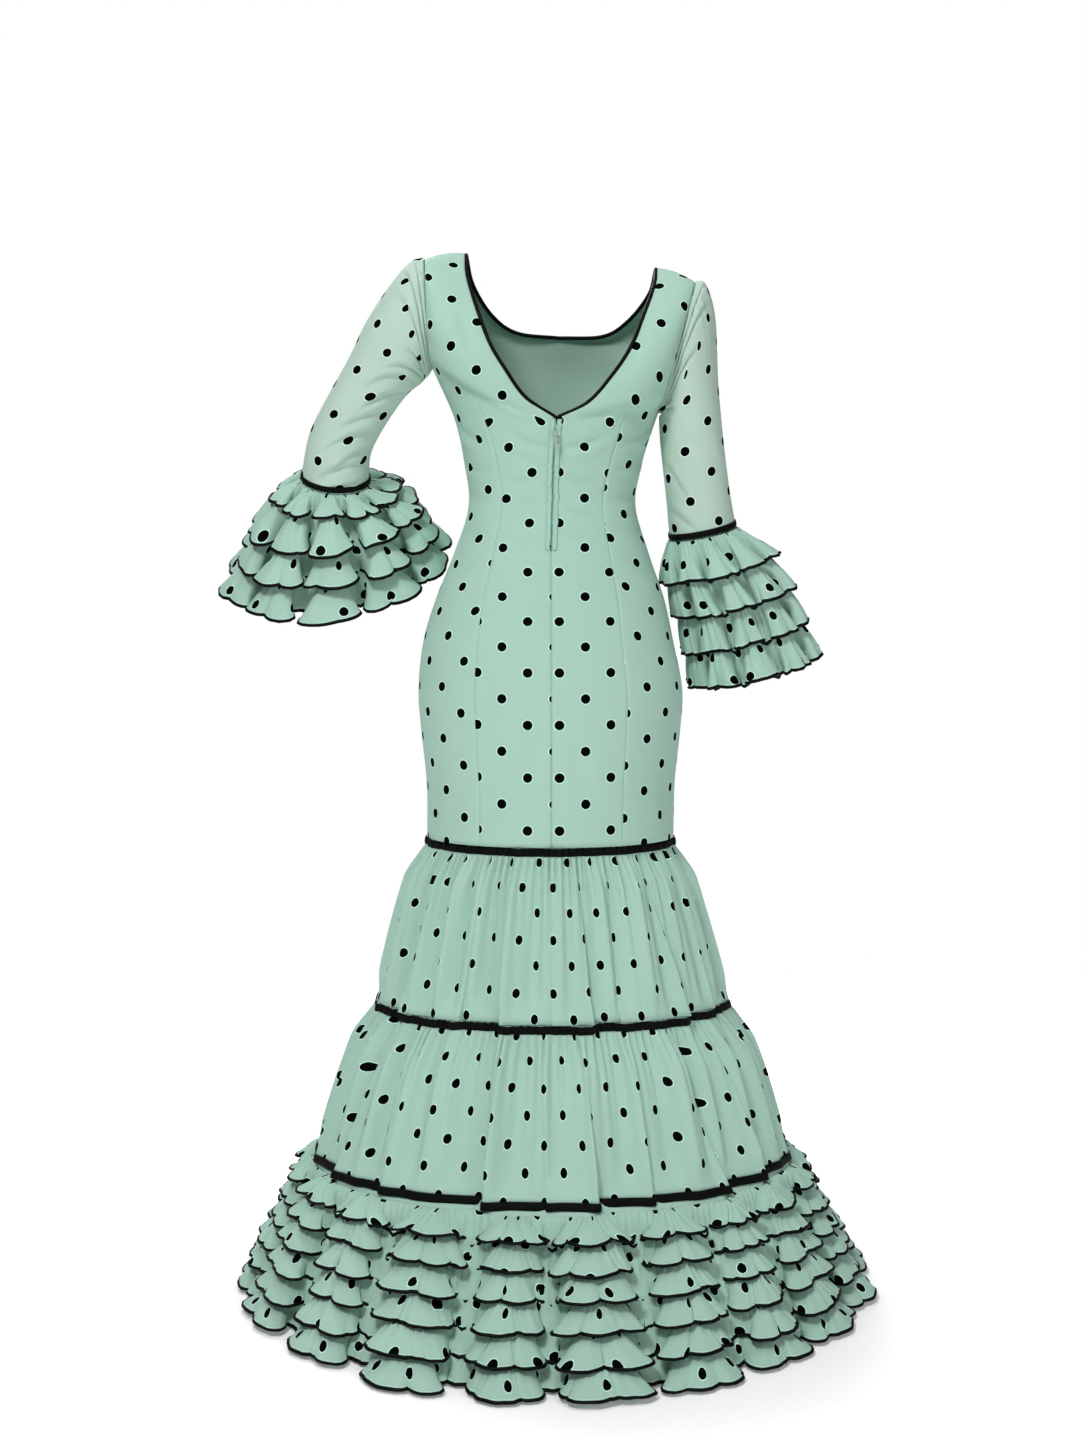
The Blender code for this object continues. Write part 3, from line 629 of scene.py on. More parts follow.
def rolled(points, start, end, middle):
    """Turn the panel's two long edges in where it is sewn, by start and end."""
    normals = grid_normals(points, False) * facing_out(points, False, middle)
    run = arc(points, 1)
    back = run[:, -1:] - run
    depth = start * np.exp(-(run / ROLL_WIDTH) ** 2) + end * np.exp(-(back / ROLL_WIDTH) ** 2)
    return points - normals * depth[..., None]


CREASE_BOW = 0.08            # how far a crease bends, as a part of its length
CREASE_COLUMNS = ("across_0", "up_0", "across_1", "up_1", "width", "depth")


def creased(points, cut, creases, middle, closed=False):
    """Press soft creases into a grid.  Each is a slightly bowed trough between two places on the
    flat cloth, with a lower ridge beside it, and fades at both ends."""
    normals = grid_normals(points, closed) * facing_out(points, closed, middle)
    total = np.zeros(points.shape[:2])
    for row in creases:
        crease = named(CREASE_COLUMNS, row)
        start = np.array([crease["across_0"], crease["up_0"]])
        along = np.array([crease["across_1"], crease["up_1"]]) - start
        width, depth = crease["width"], crease["depth"]
        length = np.linalg.norm(along)
        rel = cut[:, :points.shape[1]] - start
        place = (rel @ along) / length ** 2
        t = np.clip(place, 0, 1)
        bow = CREASE_BOW * length * np.sin(math.pi * t)
        side = (rel[..., 0] * along[1] - rel[..., 1] * along[0]) / length - bow
        beyond = np.abs(place - t) * length
        near = np.exp(-(side / width) ** 2) - 0.6 * np.exp(-((side - 1.9 * width) / (1.3 * width)) ** 2)
        taper = np.sin(math.pi * np.clip(t, 0.02, 0.98)) ** 0.7 * np.exp(-beyond / width)
        total -= depth * near * taper
    return points + normals * total[..., None]


def panel_cut(points, from_centre):
    """Places on the flat cloth: across from the body's middle line, or from the panel's own middle,
    and up from the floor along the cloth."""
    run = np.diff(points, axis=1)
    level = unit(np.gradient(points, axis=1) * [1, 1, 0])
    wide = np.linalg.norm(run[..., :2], axis=-1)
    across = np.concatenate([np.zeros((len(points), 1)), np.cumsum(wide, axis=1)], axis=1)
    if from_centre:
        across += np.abs(points[:, :1, 0])
    else:
        across -= across[:, -1:] / 2
    step = np.diff(points, axis=0)
    between = (level[1:] + level[:-1]) / 2
    sideways = (step * between).sum(-1)
    rise = np.sqrt(np.clip((step ** 2).sum(-1) - sideways ** 2, 0, None)) * np.sign(step[..., 2])
    start = points[:1, :, 2] - points[:1, :1, 2] + points[0, 0, 2]
    up = np.concatenate([start, start + np.cumsum(rise, axis=0)], axis=0)
    return np.stack([across, up], -1)


def dot_at(across, up):
    """The shift of the flat cloth that sets a dot's middle at this place on a panel."""
    return np.array([DOT_PITCH / 2 - across, DOT_PITCH / 2 - up])


MIDDLE = (0.0, 0.0, 1.0)
# Creases on the panels, from place to place on the flat cloth: across from the body's middle line,
# or from a side panel's own, and up from the floor.
BACK_CREASES = {
    "left": [
        (0.01, 1.198, 0.075, 1.222, 0.0056, 0.0041), (0.012, 1.16, 0.074, 1.15, 0.0048, 0.0032),
        (0.01, 1.118, 0.07, 1.126, 0.0048, 0.0035), (0.012, 1.078, 0.066, 1.062, 0.0064, 0.0029),
        (0.03, 1.245, 0.09, 1.285, 0.0064, 0.0029), (0.1, 1.315, 0.128, 1.4, 0.008, 0.0032),
        (0.02, 0.8, 0.05, 0.7, 0.0128, 0.0028),
    ],
    "right": [
        (0.01, 1.196, 0.08, 1.216, 0.0056, 0.0043), (0.012, 1.158, 0.076, 1.15, 0.0048, 0.0038),
        (0.014, 1.122, 0.072, 1.104, 0.0048, 0.0035), (0.01, 1.082, 0.064, 1.072, 0.0056, 0.0029),
        (0.035, 1.236, 0.098, 1.262, 0.0064, 0.0032), (0.1, 1.3, 0.13, 1.372, 0.008, 0.0032),
        (0.03, 0.78, 0.06, 0.69, 0.0128, 0.0028),
    ],
}
SIDE_CREASES = [
    (-0.04, 1.205, 0.036, 1.25, 0.0056, 0.0035), (-0.036, 1.168, 0.036, 1.19, 0.0056, 0.003),
    (-0.038, 1.128, 0.034, 1.14, 0.0056, 0.003), (-0.04, 1.088, 0.036, 1.078, 0.0064, 0.0026),
    (-0.044, 1.046, 0.036, 1.018, 0.008, 0.0023), (0, 0.73, 0.012, 0.65, 0.0112, 0.0026),
]
FRONT_CREASES = [
    (-0.05, 1.11, 0.02, 1.122, 0.0064, 0.0028), (0, 1.15, 0.06, 1.142, 0.0064, 0.0026),
    (-0.06, 0.76, -0.03, 0.66, 0.0128, 0.0026), (0.04, 0.78, 0.05, 0.68, 0.0128, 0.0023),
]
# Where a dot's middle falls on each panel's flat cloth.
BACK_DOTS = {"left": (0.033, 0.800), "right": (0.011, 0.800)}
FRONT_DOT = (0.02, 0.80)
SIDE_DOT = (0.012, 0.815)
# How far a panel's inner and outer edges turn in at their seams.
ZIP_ROLL = (0.0030, 0.0012)
SIDE_ROLL = (0.0012, 0.0008)
FRONT_ROLL = (0.0012, 0.0012)
STRAP_ROLL = (0.0, 0.0012)


def sheet_size(points):
    """A panel's greatest width and height, and its flat area."""
    wide = arc(points, 1)[:, -1]
    high = arc(points, 0)[-1]
    steps = np.diff(arc(points, 0).mean(axis=1))
    area = float(((wide[1:] + wide[:-1]) / 2 * steps).sum())
    return float(wide.max()), float(high.max()), area


def declare_gathered(depth, area=None):
    area and round(area, 5)


def declare(points):
    """Round a fitted panel's flat area, at most its width times its height; nothing is kept.
    A hundredth longer than its surface for ease.
    """
    wide, high, area = sheet_size(points)
    round(min(area, wide * high), 5)


def make_panel(name, side, points, creases, roll, dot, from_centre, cloth):
    cut = panel_cut(points, from_centre)
    points = rolled(creased(points, cut, creases, MIDDLE), *roll, MIDDLE)
    flat = (cut + dot_at(*dot)) * [SIGN[side], 1]
    piece = grid_piece("cloth_" + name, points, cloth, flat, middle=MIDDLE)
    stand_for(piece, name)
    declare(points)


def make_back_centre(side, cloth):
    last = UNDERARM_ROW + YOKE_ROWS
    control = panel_grid("back", side, last, lambda row: 0.0, lambda row: seam_part("back", row), 14)
    make_panel("back_centre_" + side, side, rows_through(control, ROW_STEPS), BACK_CREASES[side],
               ZIP_ROLL, BACK_DOTS[side], True, cloth)


def make_side_panel(face, side, cloth):
    last = UNDERARM_ROW + SEAM_ROWS + 1
    control = panel_grid(face, side, last, lambda row: seam_part(face, row), lambda row: 1.0, 12)
    points = rows_through(control, ROW_STEPS)[:(last - 1) * ROW_STEPS + 1]
    make_panel(f"{face}_side_{side}", side, points, SIDE_CREASES, SIDE_ROLL,
               (SIDE_DOT[0] * SIGN[side], SIDE_DOT[1]), False, cloth)


def make_front_centre(cloth):
    last = UNDERARM_ROW + YOKE_ROWS
    halves = {}
    for side in ("left", "right"):
        control = panel_grid("front", side, last, lambda row: 0.0, lambda row: seam_part("front", row), 14)
        weight = (panel_spread(14) ** 0.5)[:, None]
        halves[side] = rows_through(control, ROW_STEPS, SCOOP_ROW, weight)
    split = SCOOP_ROW * ROW_STEPS
    columns = halves["right"].shape[1]
    cuts = {side: panel_cut(halves[side], True) * [SIGN[side], 1] + dot_at(*FRONT_DOT) for side in halves}
    whole = np.concatenate([halves["right"][:, :0:-1], halves["left"]], axis=1)[:split + 1]
    whole_cut = np.concatenate([cuts["right"][:, :0:-1], cuts["left"]], axis=1)[:split + 1]
    low = creased(whole, whole_cut - dot_at(*FRONT_DOT), FRONT_CREASES, MIDDLE)
    low = rolled(low, *FRONT_ROLL, MIDDLE)
    pieces = [grid_piece("cloth_front_centre", low, cloth, whole_cut, middle=MIDDLE)]
    for side in ("left", "right"):
        strap = rolled(halves[side][split:], *STRAP_ROLL, MIDDLE)
        strap[0] = low[-1, columns - 1:] if side == "left" else low[-1, :columns][::-1]
        pieces.append(grid_piece("strap_" + side, strap, cloth, cuts[side][split:], middle=MIDDLE))
    joined = join(pieces)
    stand_for(joined, "front_centre")
    wide, _, area = sheet_size(whole)
    straps_area = sum(sheet_size(halves[side][split:])[2] for side in halves)


def join(pieces):
    """Join grid pieces and weld the rows that they share."""
    bpy.ops.object.select_all(action="DESELECT")
    for piece in pieces:
        piece.select_set(True)
    bpy.context.view_layer.objects.active = pieces[0]
    bpy.ops.object.join()
    weld = pieces[0].modifiers.new("weld", "WELD")
    weld.merge_threshold = 0.00005
    pieces[0].modifiers.move(1, 0)
    return pieces[0]


# ---------------------------------------------------------------- strips and cords along an edge
def swept(name, path, across, outward, section, material, closed=True):
    """A solid strip along a path: section lists its corners as parts of across and outward."""
    corners = [path + across * a + outward * o for a, o in section]
    points = np.stack(corners, axis=1)
    count, sides = points.shape[:2]
    first = np.arange(count if closed else count - 1)[:, None]
    nxt = (first + 1) % count
    here = np.arange(sides)[None, :]
    beside = (here + 1) % sides
    faces = np.stack([first * sides + here, nxt * sides + here, nxt * sides + beside,
                      first * sides + beside], -1).reshape(-1, 4).tolist()
    if not closed:
        faces += [list(range(sides)), list(range(count * sides - 1, (count - 1) * sides - 1, -1))]
    piece = new_piece(name, points, faces, [material])
    set_normals_out(piece.data)
    return piece


def set_normals_out(mesh):
    shape = bmesh.new()
    shape.from_mesh(mesh)
    bmesh.ops.recalc_face_normals(shape, faces=shape.faces)
    shape.to_mesh(mesh)
    shape.free()


def oval(count, half_across, half_out):
    turns = np.arange(count) * 2 * math.pi / count
    return [(half_across * math.cos(a), half_out * math.sin(a)) for a in turns]


def make_piping(material):
    half = {}
    for side in ("left", "right"):
        back = np.array([neck_point("back", side, row) for row in range(YOKE_ROWS + 1)])
        front = np.array([neck_point("front", side, row) for row in range(2, YOKE_ROWS + 1)])
        back_line = rows_through(back[:, None], 14)[:, 0]
        front_line = rows_through(front[:, None], 14)[:, 0]
        half[side] = np.concatenate([back_line, front_line[-2::-1]])
    path = np.concatenate([half["left"], half["right"][-2:0:-1]])
    along = unit(np.roll(path, -1, axis=0) - np.roll(path, 1, axis=0))
    inward = path.mean(axis=0) - path
    inward = unit(inward - along * (inward * along).sum(-1, keepdims=True))
    outward = unit(np.cross(along, inward))
    section = oval(10, PIPING_RADIUS, PIPING_RADIUS)
    piece = swept("piping", path + inward * PIPING_RADIUS * 0.7, inward, outward, section, material)
    stand_for(piece, "neck_piping")


# ---------------------------------------------------------------- sleeves
SLEEVE_SIDES = 128
SLEEVE_STEPS = 12            # rows of the fine mesh between two rings
SLEEVE_GIRTH = 0.30          # the cloth round a sleeve that its creases' places are measured on
ARMHOLE_GAP = 0.0016         # how far the sleeve's head starts from the bodice
SLEEVE_OFFSET = {"left": (0.02, 0.03), "right": (0.02, 0.055)}  # of the cut on the dotted cloth
HEAD_SEED = {"left": 5, "right": 9}
HEAD_PLEATS = 9
HEAD_DEPTH = 0.0040
# Sleeve creases, each from one place to another: turns round the sleeve (0 outer, 0.25 back, 0.5 inner)
# and parts of the way down it, then the width and depth in metres.
SLEEVE_CREASES = {
    "left": [
        (0.04, 0.12, 0.42, 0.05, 0.0033, 0.0040), (0.08, 0.20, 0.44, 0.09, 0.0036, 0.0042),
        (0.14, 0.28, 0.45, 0.14, 0.0040, 0.0036), (0.30, 0.34, 0.47, 0.21, 0.0033, 0.0036),
        (0.28, 0.46, 0.47, 0.31, 0.0033, 0.0038), (0.24, 0.56, 0.46, 0.39, 0.0033, 0.0038),
        (0.27, 0.63, 0.47, 0.47, 0.0032, 0.0040), (0.22, 0.71, 0.47, 0.55, 0.0033, 0.0042),
        (0.19, 0.79, 0.47, 0.63, 0.0033, 0.0042), (0.26, 0.83, 0.47, 0.71, 0.0030, 0.0038),
        (0.15, 0.89, 0.46, 0.78, 0.0034, 0.0040), (0.18, 0.95, 0.45, 0.87, 0.0033, 0.0031),
        (-0.45, 0.42, -0.22, 0.58, 0.0040, 0.0038), (-0.43, 0.12, -0.12, 0.24, 0.0040, 0.0034),
        (-0.46, 0.58, -0.24, 0.74, 0.0036, 0.0040), (-0.46, 0.72, -0.20, 0.86, 0.0036, 0.0038),
    ],
    "right": [
        (0.05, 0.13, 0.42, 0.06, 0.0033, 0.0038), (0.10, 0.22, 0.44, 0.10, 0.0036, 0.0038),
        (0.20, 0.30, 0.46, 0.16, 0.0036, 0.0036), (0.34, 0.46, 0.48, 0.32, 0.0033, 0.0034),
        (0.10, 0.66, 0.32, 0.58, 0.0053, 0.0020), (0.31, 0.74, 0.47, 0.62, 0.0033, 0.0029),
        (0.29, 0.86, 0.46, 0.76, 0.0034, 0.0029), (-0.42, 0.14, -0.14, 0.26, 0.0040, 0.0034),
        (-0.44, 0.52, -0.20, 0.66, 0.0040, 0.0034), (-0.44, 0.72, -0.22, 0.84, 0.0036, 0.0034),
    ],
}


def sleeve_turns():
    """Turns round a sleeve from its underarm seam: -0.5 inner, 0 outer, 0.25 back."""
    return np.arange(SLEEVE_SIDES) / SLEEVE_SIDES - 0.5


def sleeve_grid(side):
    control = []
    for i, row in enumerate(SLEEVES[side]):
        ring = named(SLEEVE_COLUMNS, row)
        upward, backward, axis = ring_frame(ring["lean"], ring["pitch"], side)
        middle = ring_middle(ring) + axis * (ARMHOLE_GAP if i == 0 else 0.0)
        angle = 2 * math.pi * sleeve_turns()[:, None]
        control.append(middle + upward * ring["up"] * np.cos(angle)
                       + backward * ring["side"] * np.sin(angle))
    return rows_through(np.array(control), SLEEVE_STEPS)


def head_gathers(rows, seed):
    """The gathered sleeve head: short soft pleats fanning from the shoulder seam."""
    rng = np.random.default_rng(seed)
    turn = sleeve_turns()
    wave = np.zeros(len(turn))
    for place in np.linspace(-0.17, 0.17, HEAD_PLEATS):
        place = place + rng.uniform(-0.008, 0.008)
        wave += rng.uniform(0.6, 1.2) * np.exp(-((turn - place) / 0.0105) ** 2)
    fall = np.exp(-(np.arange(rows) / 14.0) ** 1.3) * np.clip(np.arange(rows) / 2.0, 0, 1)
    return HEAD_DEPTH * fall[:, None] * wave[None, :]


def sleeve_band(side, points, ribbon):
    """The ribbon round the sleeve's lower end."""
    end = points[-1]
    outward = unit(end - end.mean(axis=0))
    upward = unit(points[-1 - SLEEVE_STEPS] - end)
    path = end + upward * RIBBON_SLEEVE / 2 + outward * (CLOTH + 0.0012)
    section = oval(8, RIBBON_SLEEVE / 2, 0.0009)
    band = swept("ribbon_sleeve_" + side, path, upward, outward, section, ribbon)
    stand_for(band, "sleeve_band_" + side)
    return band


def make_sleeve(side, cloth, ribbon):
    points = sleeve_grid(side)
    rows, columns = points.shape[:2]
    centre = points.mean(axis=1, keepdims=True)
    ring = ringed(points)
    around = arc(ring, 1)
    around = around - around[:, columns // 2:columns // 2 + 1]
    down = arc(ring, 0)
    length = float(down[-1].mean())
    place = np.stack(np.meshgrid(sleeve_turns() * SLEEVE_GIRTH, np.linspace(0, length, rows)), -1)
    creases = [(a * SLEEVE_GIRTH, b * length, c * SLEEVE_GIRTH, d * length, w, h)
               for a, b, c, d, w, h in SLEEVE_CREASES[side]]
    normals = grid_normals(points, True)
    normals *= 1.0 if (normals * (points - centre)).sum() > 0 else -1.0
    puff = head_gathers(rows, HEAD_SEED[side])
    shaped = creased(points, place, creases, points.mean(axis=(0, 1)), True) + normals * puff[..., None]
    shaped[-1] = points[-1]
    name = "sleeve_" + side
    cut = np.stack([around, down[-1:] - down], -1) + SLEEVE_OFFSET[side]
    piece = grid_piece("cloth_" + name, shaped, cloth, cut, True)
    stand_for(piece, name)
    band = sleeve_band(side, shaped, ribbon)


# ---------------------------------------------------------------- folds and ruffles
RUFFLE_ROWS = 13
RUFFLE_SEAT = 0.0012         # how far a ruffle's gathered edge lies off its base
# A ruffle's look: gathers and flutes to a lobe, then in metres how deep a gather is, how far a flute
# stands out, how far the cloth in a gap is pushed out, how far a lobe's middle lifts, how far a gap
# drops and how a flute rises with its wave.  side, neck and spread are turns and parts of a lobe.
BELL_LOOK = {"gathers": 7, "gather": 0.0052, "flutes": 3, "flute": 0.0056, "side": 0.009, "push": 0.008,
             "lift": 0.005, "drop": 0.004, "wave": -0.001, "spread": 0.0, "neck": -0.22}
HEM_LOOK = {"gathers": 14, "gather": 0.0074, "flutes": 4.5, "flute": 0.0078, "side": 0.004, "push": 0.012}
# A lobe of a ruffle's free edge in plan, at even steps of cloth from the middle of the gap to the
# lobe's own middle: how far across (0 gap, 1 lobe) and how far out (0 gap, 1 lobe).  The cloth turns
# back on itself at the lobe's neck and rolls round at its corner.
LOBE_ACROSS = (0.00, 0.15, 0.27, 0.29, 0.19, 0.14, 0.28, 0.52, 0.77, 1.00)
LOBE_OUT = (0.00, 0.00, 0.04, 0.20, 0.45, 0.72, 0.90, 0.97, 0.99, 1.00)


def smooth_through(values, t):
    """A smooth curve through evenly spaced values that is level at the far end; t is 0 to 1."""
    values = np.array(values)
    padded = np.concatenate([[2 * values[0] - values[1]], values, [2 * values[-1] - values[-2]]])
    place = np.clip(t, 0, 1) * (len(values) - 1)
    index = np.minimum(place.astype(int), len(values) - 2)
    a, b, c, d = hermite(place - index)
    before, first, second, after = (padded[index + k] for k in range(4))
    slope_a, slope_b = (second - before) / 2, (after - first) / 2
    return a * first + b * slope_a + c * second + d * slope_b


class Lobes:
    """The lobes round a ruffled piece: even cloth, with columns numbered from the first gap."""

    def __init__(self, folds, columns):
        table = named(FOLD_COLUMNS, np.array(folds, dtype=float).T)
        crests, reach = table["degrees"] / 360, table["reach"]
        before = np.concatenate([[crests[-1] - 1], crests[:-1]])
        after = np.concatenate([crests[1:], [crests[0] + 1]])
        count = len(crests)
        cloth = np.arange(columns) / columns * count
        index = cloth.astype(int)
        self.count = count
        self.cloth = cloth
        self.part = cloth - index
        self.crest = crests[index]
        self.low = (before[index] - crests[index]) / 2
        self.high = (after[index] - crests[index]) / 2
        self.reach = reach[index]

    def shape(self, g, spread=0.0, sway=0.0, neck=0.0):
        """Turns and outward parts of the gathered (g 0) to the free (g 1) edge.  neck and spread
        widen a lobe at these two, and sway leans it sideways, all as parts of half its width."""
        half = 1 - np.abs(2 * self.part - 1)
        gathered_out = np.sin(math.pi / 2 * half) ** 1.5
        across = half + (smooth_through(LOBE_ACROSS, half) - half) * g
        out = gathered_out + (smooth_through(LOBE_OUT, half) - gathered_out) * g
        side = np.where(self.part < 0.5, self.low, self.high)
        corner = np.clip(out, 0, 1)
        lean = np.abs(side) * sway * corner * g
        wide = 1 + (neck + (spread - neck) * g) * corner
        return self.crest + side * (1 - across) * wide + lean, out * self.reach

    def uneven(self, rng, size):
        """A value for each column that differs from lobe to lobe, and fades at the gaps."""
        return rng.uniform(-size, size, self.count)[self.cloth.astype(int)]

    def gap(self):
        half = 1 - np.abs(2 * self.part - 1)
        return np.clip(1 - half * 3.2, 0, 1)


def gather_wave(phase, seed):
    """Fine uneven gathers between 0 and 1; phase counts them."""
    rng = np.random.default_rng(seed)
    whole = phase[-1] + phase[1] - phase[0]
    turn = phase / whole
    drift = np.zeros_like(turn)
    for k in range(1, 8):
        drift += rng.uniform(-1, 1) * np.sin(2 * math.pi * (k * 3 * turn + rng.uniform())) / k ** 0.7
    size = 0.72 + 0.28 * np.sin(2 * math.pi * (23 * turn + rng.uniform())) * np.sin(2 * math.pi * 37 * turn)
    return size * (0.5 + 0.5 * np.sin(2 * math.pi * phase + 1.5 * drift))


def flutes(lobes, per_lobe, seed):
    """Loose flutes along a free edge: their outward and sideways parts, each from -1 to 1."""
    rng = np.random.default_rng(seed)
    turn = lobes.cloth / lobes.count
    phase = per_lobe * lobes.cloth
    for k in range(1, 9):
        phase = phase + 0.30 * rng.uniform(-1, 1) * np.sin(2 * math.pi * (k * 2 * turn + rng.uniform()))
    strength = rng.uniform(0.35, 1.0, lobes.count)
    strength = np.interp(lobes.cloth, np.arange(lobes.count) + 0.5, strength, period=lobes.count)
    open_cloth = np.clip((1 - lobes.gap()) * 1.3 - 0.3, 0, 1) ** 0.7
    return (np.cos(2 * math.pi * phase) * strength * open_cloth,
            np.sin(2 * math.pi * phase) * strength * open_cloth)


def ruffle_grid(place, top, bottom, lobes, flute, stand, look):
    """A gathered ruffle.  place(level, turn, off, rise) gives a point off the base, flute(level) is
    the depth of the base's own folds, and stand how far the free edge swings out beyond them."""
    rng = np.random.default_rng(look["seed"] + 9)
    fine = gather_wave(lobes.cloth * look["gathers"], look["seed"] + 50)
    out_wave, side_wave = flutes(lobes, look["flutes"], look["seed"])
    gap = lobes.gap()
    spread, sway = lobes.uneven(rng, 0.06) + look["spread"], lobes.uneven(rng, 0.10)
    swell, dip = lobes.uneven(rng, 0.14), lobes.uneven(rng, 0.0022)
    rows = []
    for f in np.linspace(0, 1, RUFFLE_ROWS):
        level = top + (bottom - top) * f
        g = f ** 1.15
        turn, out = lobes.shape(g, spread, sway, look["neck"])
        swing = math.sin(f * math.pi / 2) ** 0.9
        off = RUFFLE_SEAT + (flute(level) + swing * stand * (1 + swell)) * out + look["push"] * f * gap
        off = off + look["flute"] * out_wave * f ** 1.1
        held = look["gather"] * fine * math.exp(-f * 1.1) * min(1.0, 0.5 + f * 6)
        off = off + held * (1 - 0.75 * gap)
        turn = turn + look["side"] * side_wave * f ** 1.3
        rise = look["lift"] * (out - 0.8) - look["drop"] * gap + look["wave"] * out_wave
        rows.append(place(level, turn, off, f ** 1.5 * (rise - dip * out)))
    return np.array(rows)


def closed_cut(points, flat_width, offset):
    """Places on the flat cloth for a closed gathered strip, its cloth spread as on its free edge."""
    free = np.concatenate([points[-1], points[-1, :1]])
    run = np.concatenate([[0], np.cumsum(np.linalg.norm(np.diff(free, axis=0), axis=1))])
    across = (run / run[-1] * flat_width)[None] + np.zeros((len(points), 1))
    down = arc(points, 0).mean(axis=1)[:, None] + np.zeros_like(across)
    return np.stack([across + offset[0], -down + offset[1]], -1)


def closed_length(line):
    return float(np.linalg.norm(np.roll(line, -1, axis=0) - line, axis=1).sum())


def cut_width(points, depth, fullness):
    """The flat strip's length: its free edge eased by fullness, but no more than its gathers hold."""
    ring = ringed(points)
    across, down = np.diff(ring, axis=1)[:-1], np.diff(ring, axis=0)[:, :-1]
    area = float(np.linalg.norm(np.cross(across, down), axis=-1).sum())
    return min(closed_length(points[-1]) * fullness, area / depth / CLOTH_HELD)


def from_free_edge(points):
    down = arc(points, 0)
    return down[-1:] - down


def ruffle_pieces(name, edging, points, cloth, edge_material, offset):
    """The ruffle's cloth and the bound edge along its free row."""
    free = points[-1]
    depth = float(arc(points, 0)[-1].mean())
    flat_width = cut_width(points, depth * 1.02, RUFFLE_FULLNESS)
    cut = closed_cut(points, flat_width, offset)
    piece = grid_piece("cloth_" + name, points, cloth, cut, True, edge=from_free_edge(points))
    stand_for(piece, name)
    down = unit(free - points[-2])
    along = unit(np.roll(free, -1, axis=0) - np.roll(free, 1, axis=0))
    outward = unit(np.cross(down, along))
    bound = swept("bound_" + edging, free[::2], down[::2], outward[::2], oval(6, *BOUND_EDGE), edge_material)
    stand_for(bound, edging)
    declare_gathered(depth)


def bell_ring(side, level):
    low = min(int(level), len(BELLS[side]) - 2)
    first, second = (named(BELL_COLUMNS, BELLS[side][i]) for i in (low, low + 1))
    return {key: first[key] + (second[key] - first[key]) * (level - low) for key in BELL_COLUMNS}


def bell_place(side, level, turn, off, rise=0.0):
    ring = bell_ring(side, level)
    upward, backward, axis = ring_frame(ring["lean"], ring["pitch"], side)
    angle = 2 * math.pi * turn[:, None]
    direction = upward * np.cos(angle) + backward * np.sin(angle)
    lift = np.broadcast_to(np.asarray(rise), turn.shape)[:, None]
    reach = ring["base"] + np.broadcast_to(off, turn.shape)[:, None]
    return ring_middle(ring) + direction * reach - axis * lift


BELL_FOLDS = {
    "left": [(16, 1.0), (50, 0.9), (88, 1.0), (122, 1.0), (160, 0.95),
             (196, 0.9), (234, 1.0), (268, 0.95), (304, 1.0), (342, 0.9)],
    "right": [(20, 1.0), (54, 0.95), (90, 1.0), (128, 0.9), (162, 0.85),
              (198, 0.9), (236, 1.0), (270, 0.95), (308, 1.0), (340, 0.95)],
}
BASE_SHARE = 0.40            # the part of a sleeve ruffle's reach that its base's own folds take


def make_bell(side, cloth, edge_material):
    count = len(BELLS[side]) - 1
    tops = [0.0] + [k - BELL_SEAT for k in range(1, count)]
    lobes = Lobes(BELL_FOLDS[side], 560)

    place = functools.partial(bell_place, side)

    def flute(level):
        ring = bell_ring(side, level)
        return (ring["reach"] - ring["base"]) * BASE_SHARE

    coarse = Lobes(BELL_FOLDS[side], 160)
    turn, out = coarse.shape(0.0)
    base = np.array([place(level, turn, flute(level) * out - 0.001)
                     for level in np.linspace(0, count - 0.25, 14)])
    base_width = closed_length(base[-1])
    piece = grid_piece("cloth_sleeve_base_" + side, base, cloth, closed_cut(base, base_width, (0, 0)), True)
    stand_for(piece, "sleeve_base_" + side)
    _, high, area = sheet_size(ringed(base))
    declare_gathered(high, area)
    for k in range(count):
        ring = bell_ring(side, k + 1)
        look = {**BELL_LOOK, "seed": 20 + 10 * k + (3 if side == "left" else 0)}
        stand = (ring["reach"] - ring["base"]) * (1 - BASE_SHARE)
        points = ruffle_grid(place, tops[k] + 0.001, k + 1, lobes, flute, stand, look)
        ruffle_pieces(f"sleeve_ruffle_{side}_{k + 1}", f"sleeve_edging_{side}_{k + 1}", points, cloth,
                      edge_material, (0.013 * k, 0.021 * k))


# ---------------------------------------------------------------- skirt
def skirt_row(table, z):
    """A skirt ring's sizes at a height, by a smooth curve through the table's rows."""
    rows = np.array(table)
    heights = rows[:, 0]
    index = int(np.clip(np.searchsorted(-heights, -z, side="right") - 1, 0, len(rows) - 2))
    t = (heights[index] - z) / (heights[index] - heights[index + 1])
    before, after = rows[max(index - 1, 0)], rows[min(index + 2, len(rows) - 1)]
    first, second = rows[index], rows[index + 1]
    span = heights[index] - heights[index + 1]
    slope_a = (second - before) / max(before[0] - second[0], 1e-6) * span
    slope_b = (after - first) / max(first[0] - after[0], 1e-6) * span
    a, b, c, d = hermite(t)
    return a * first + b * slope_a + c * second + d * slope_b


def skirt_place(row, z, turn, off):
    """Points round a skirt ring, moved off it."""
    ring = named(SKIRT_COLUMNS, row)
    angle = 2 * math.pi * turn
    across, along = np.cos(angle), np.sin(angle)
    side = np.where(across >= 0, ring["left"], ring["right"])
    face = np.where(along >= 0, ring["back"], ring["front"])
    flat = np.stack([side * across, face * along], -1)
    out = unit(flat)
    points = flat + out * np.broadcast_to(off, turn.shape)[:, None]
    return np.concatenate([points, np.broadcast_to(z, turn.shape)[:, None]], axis=1)


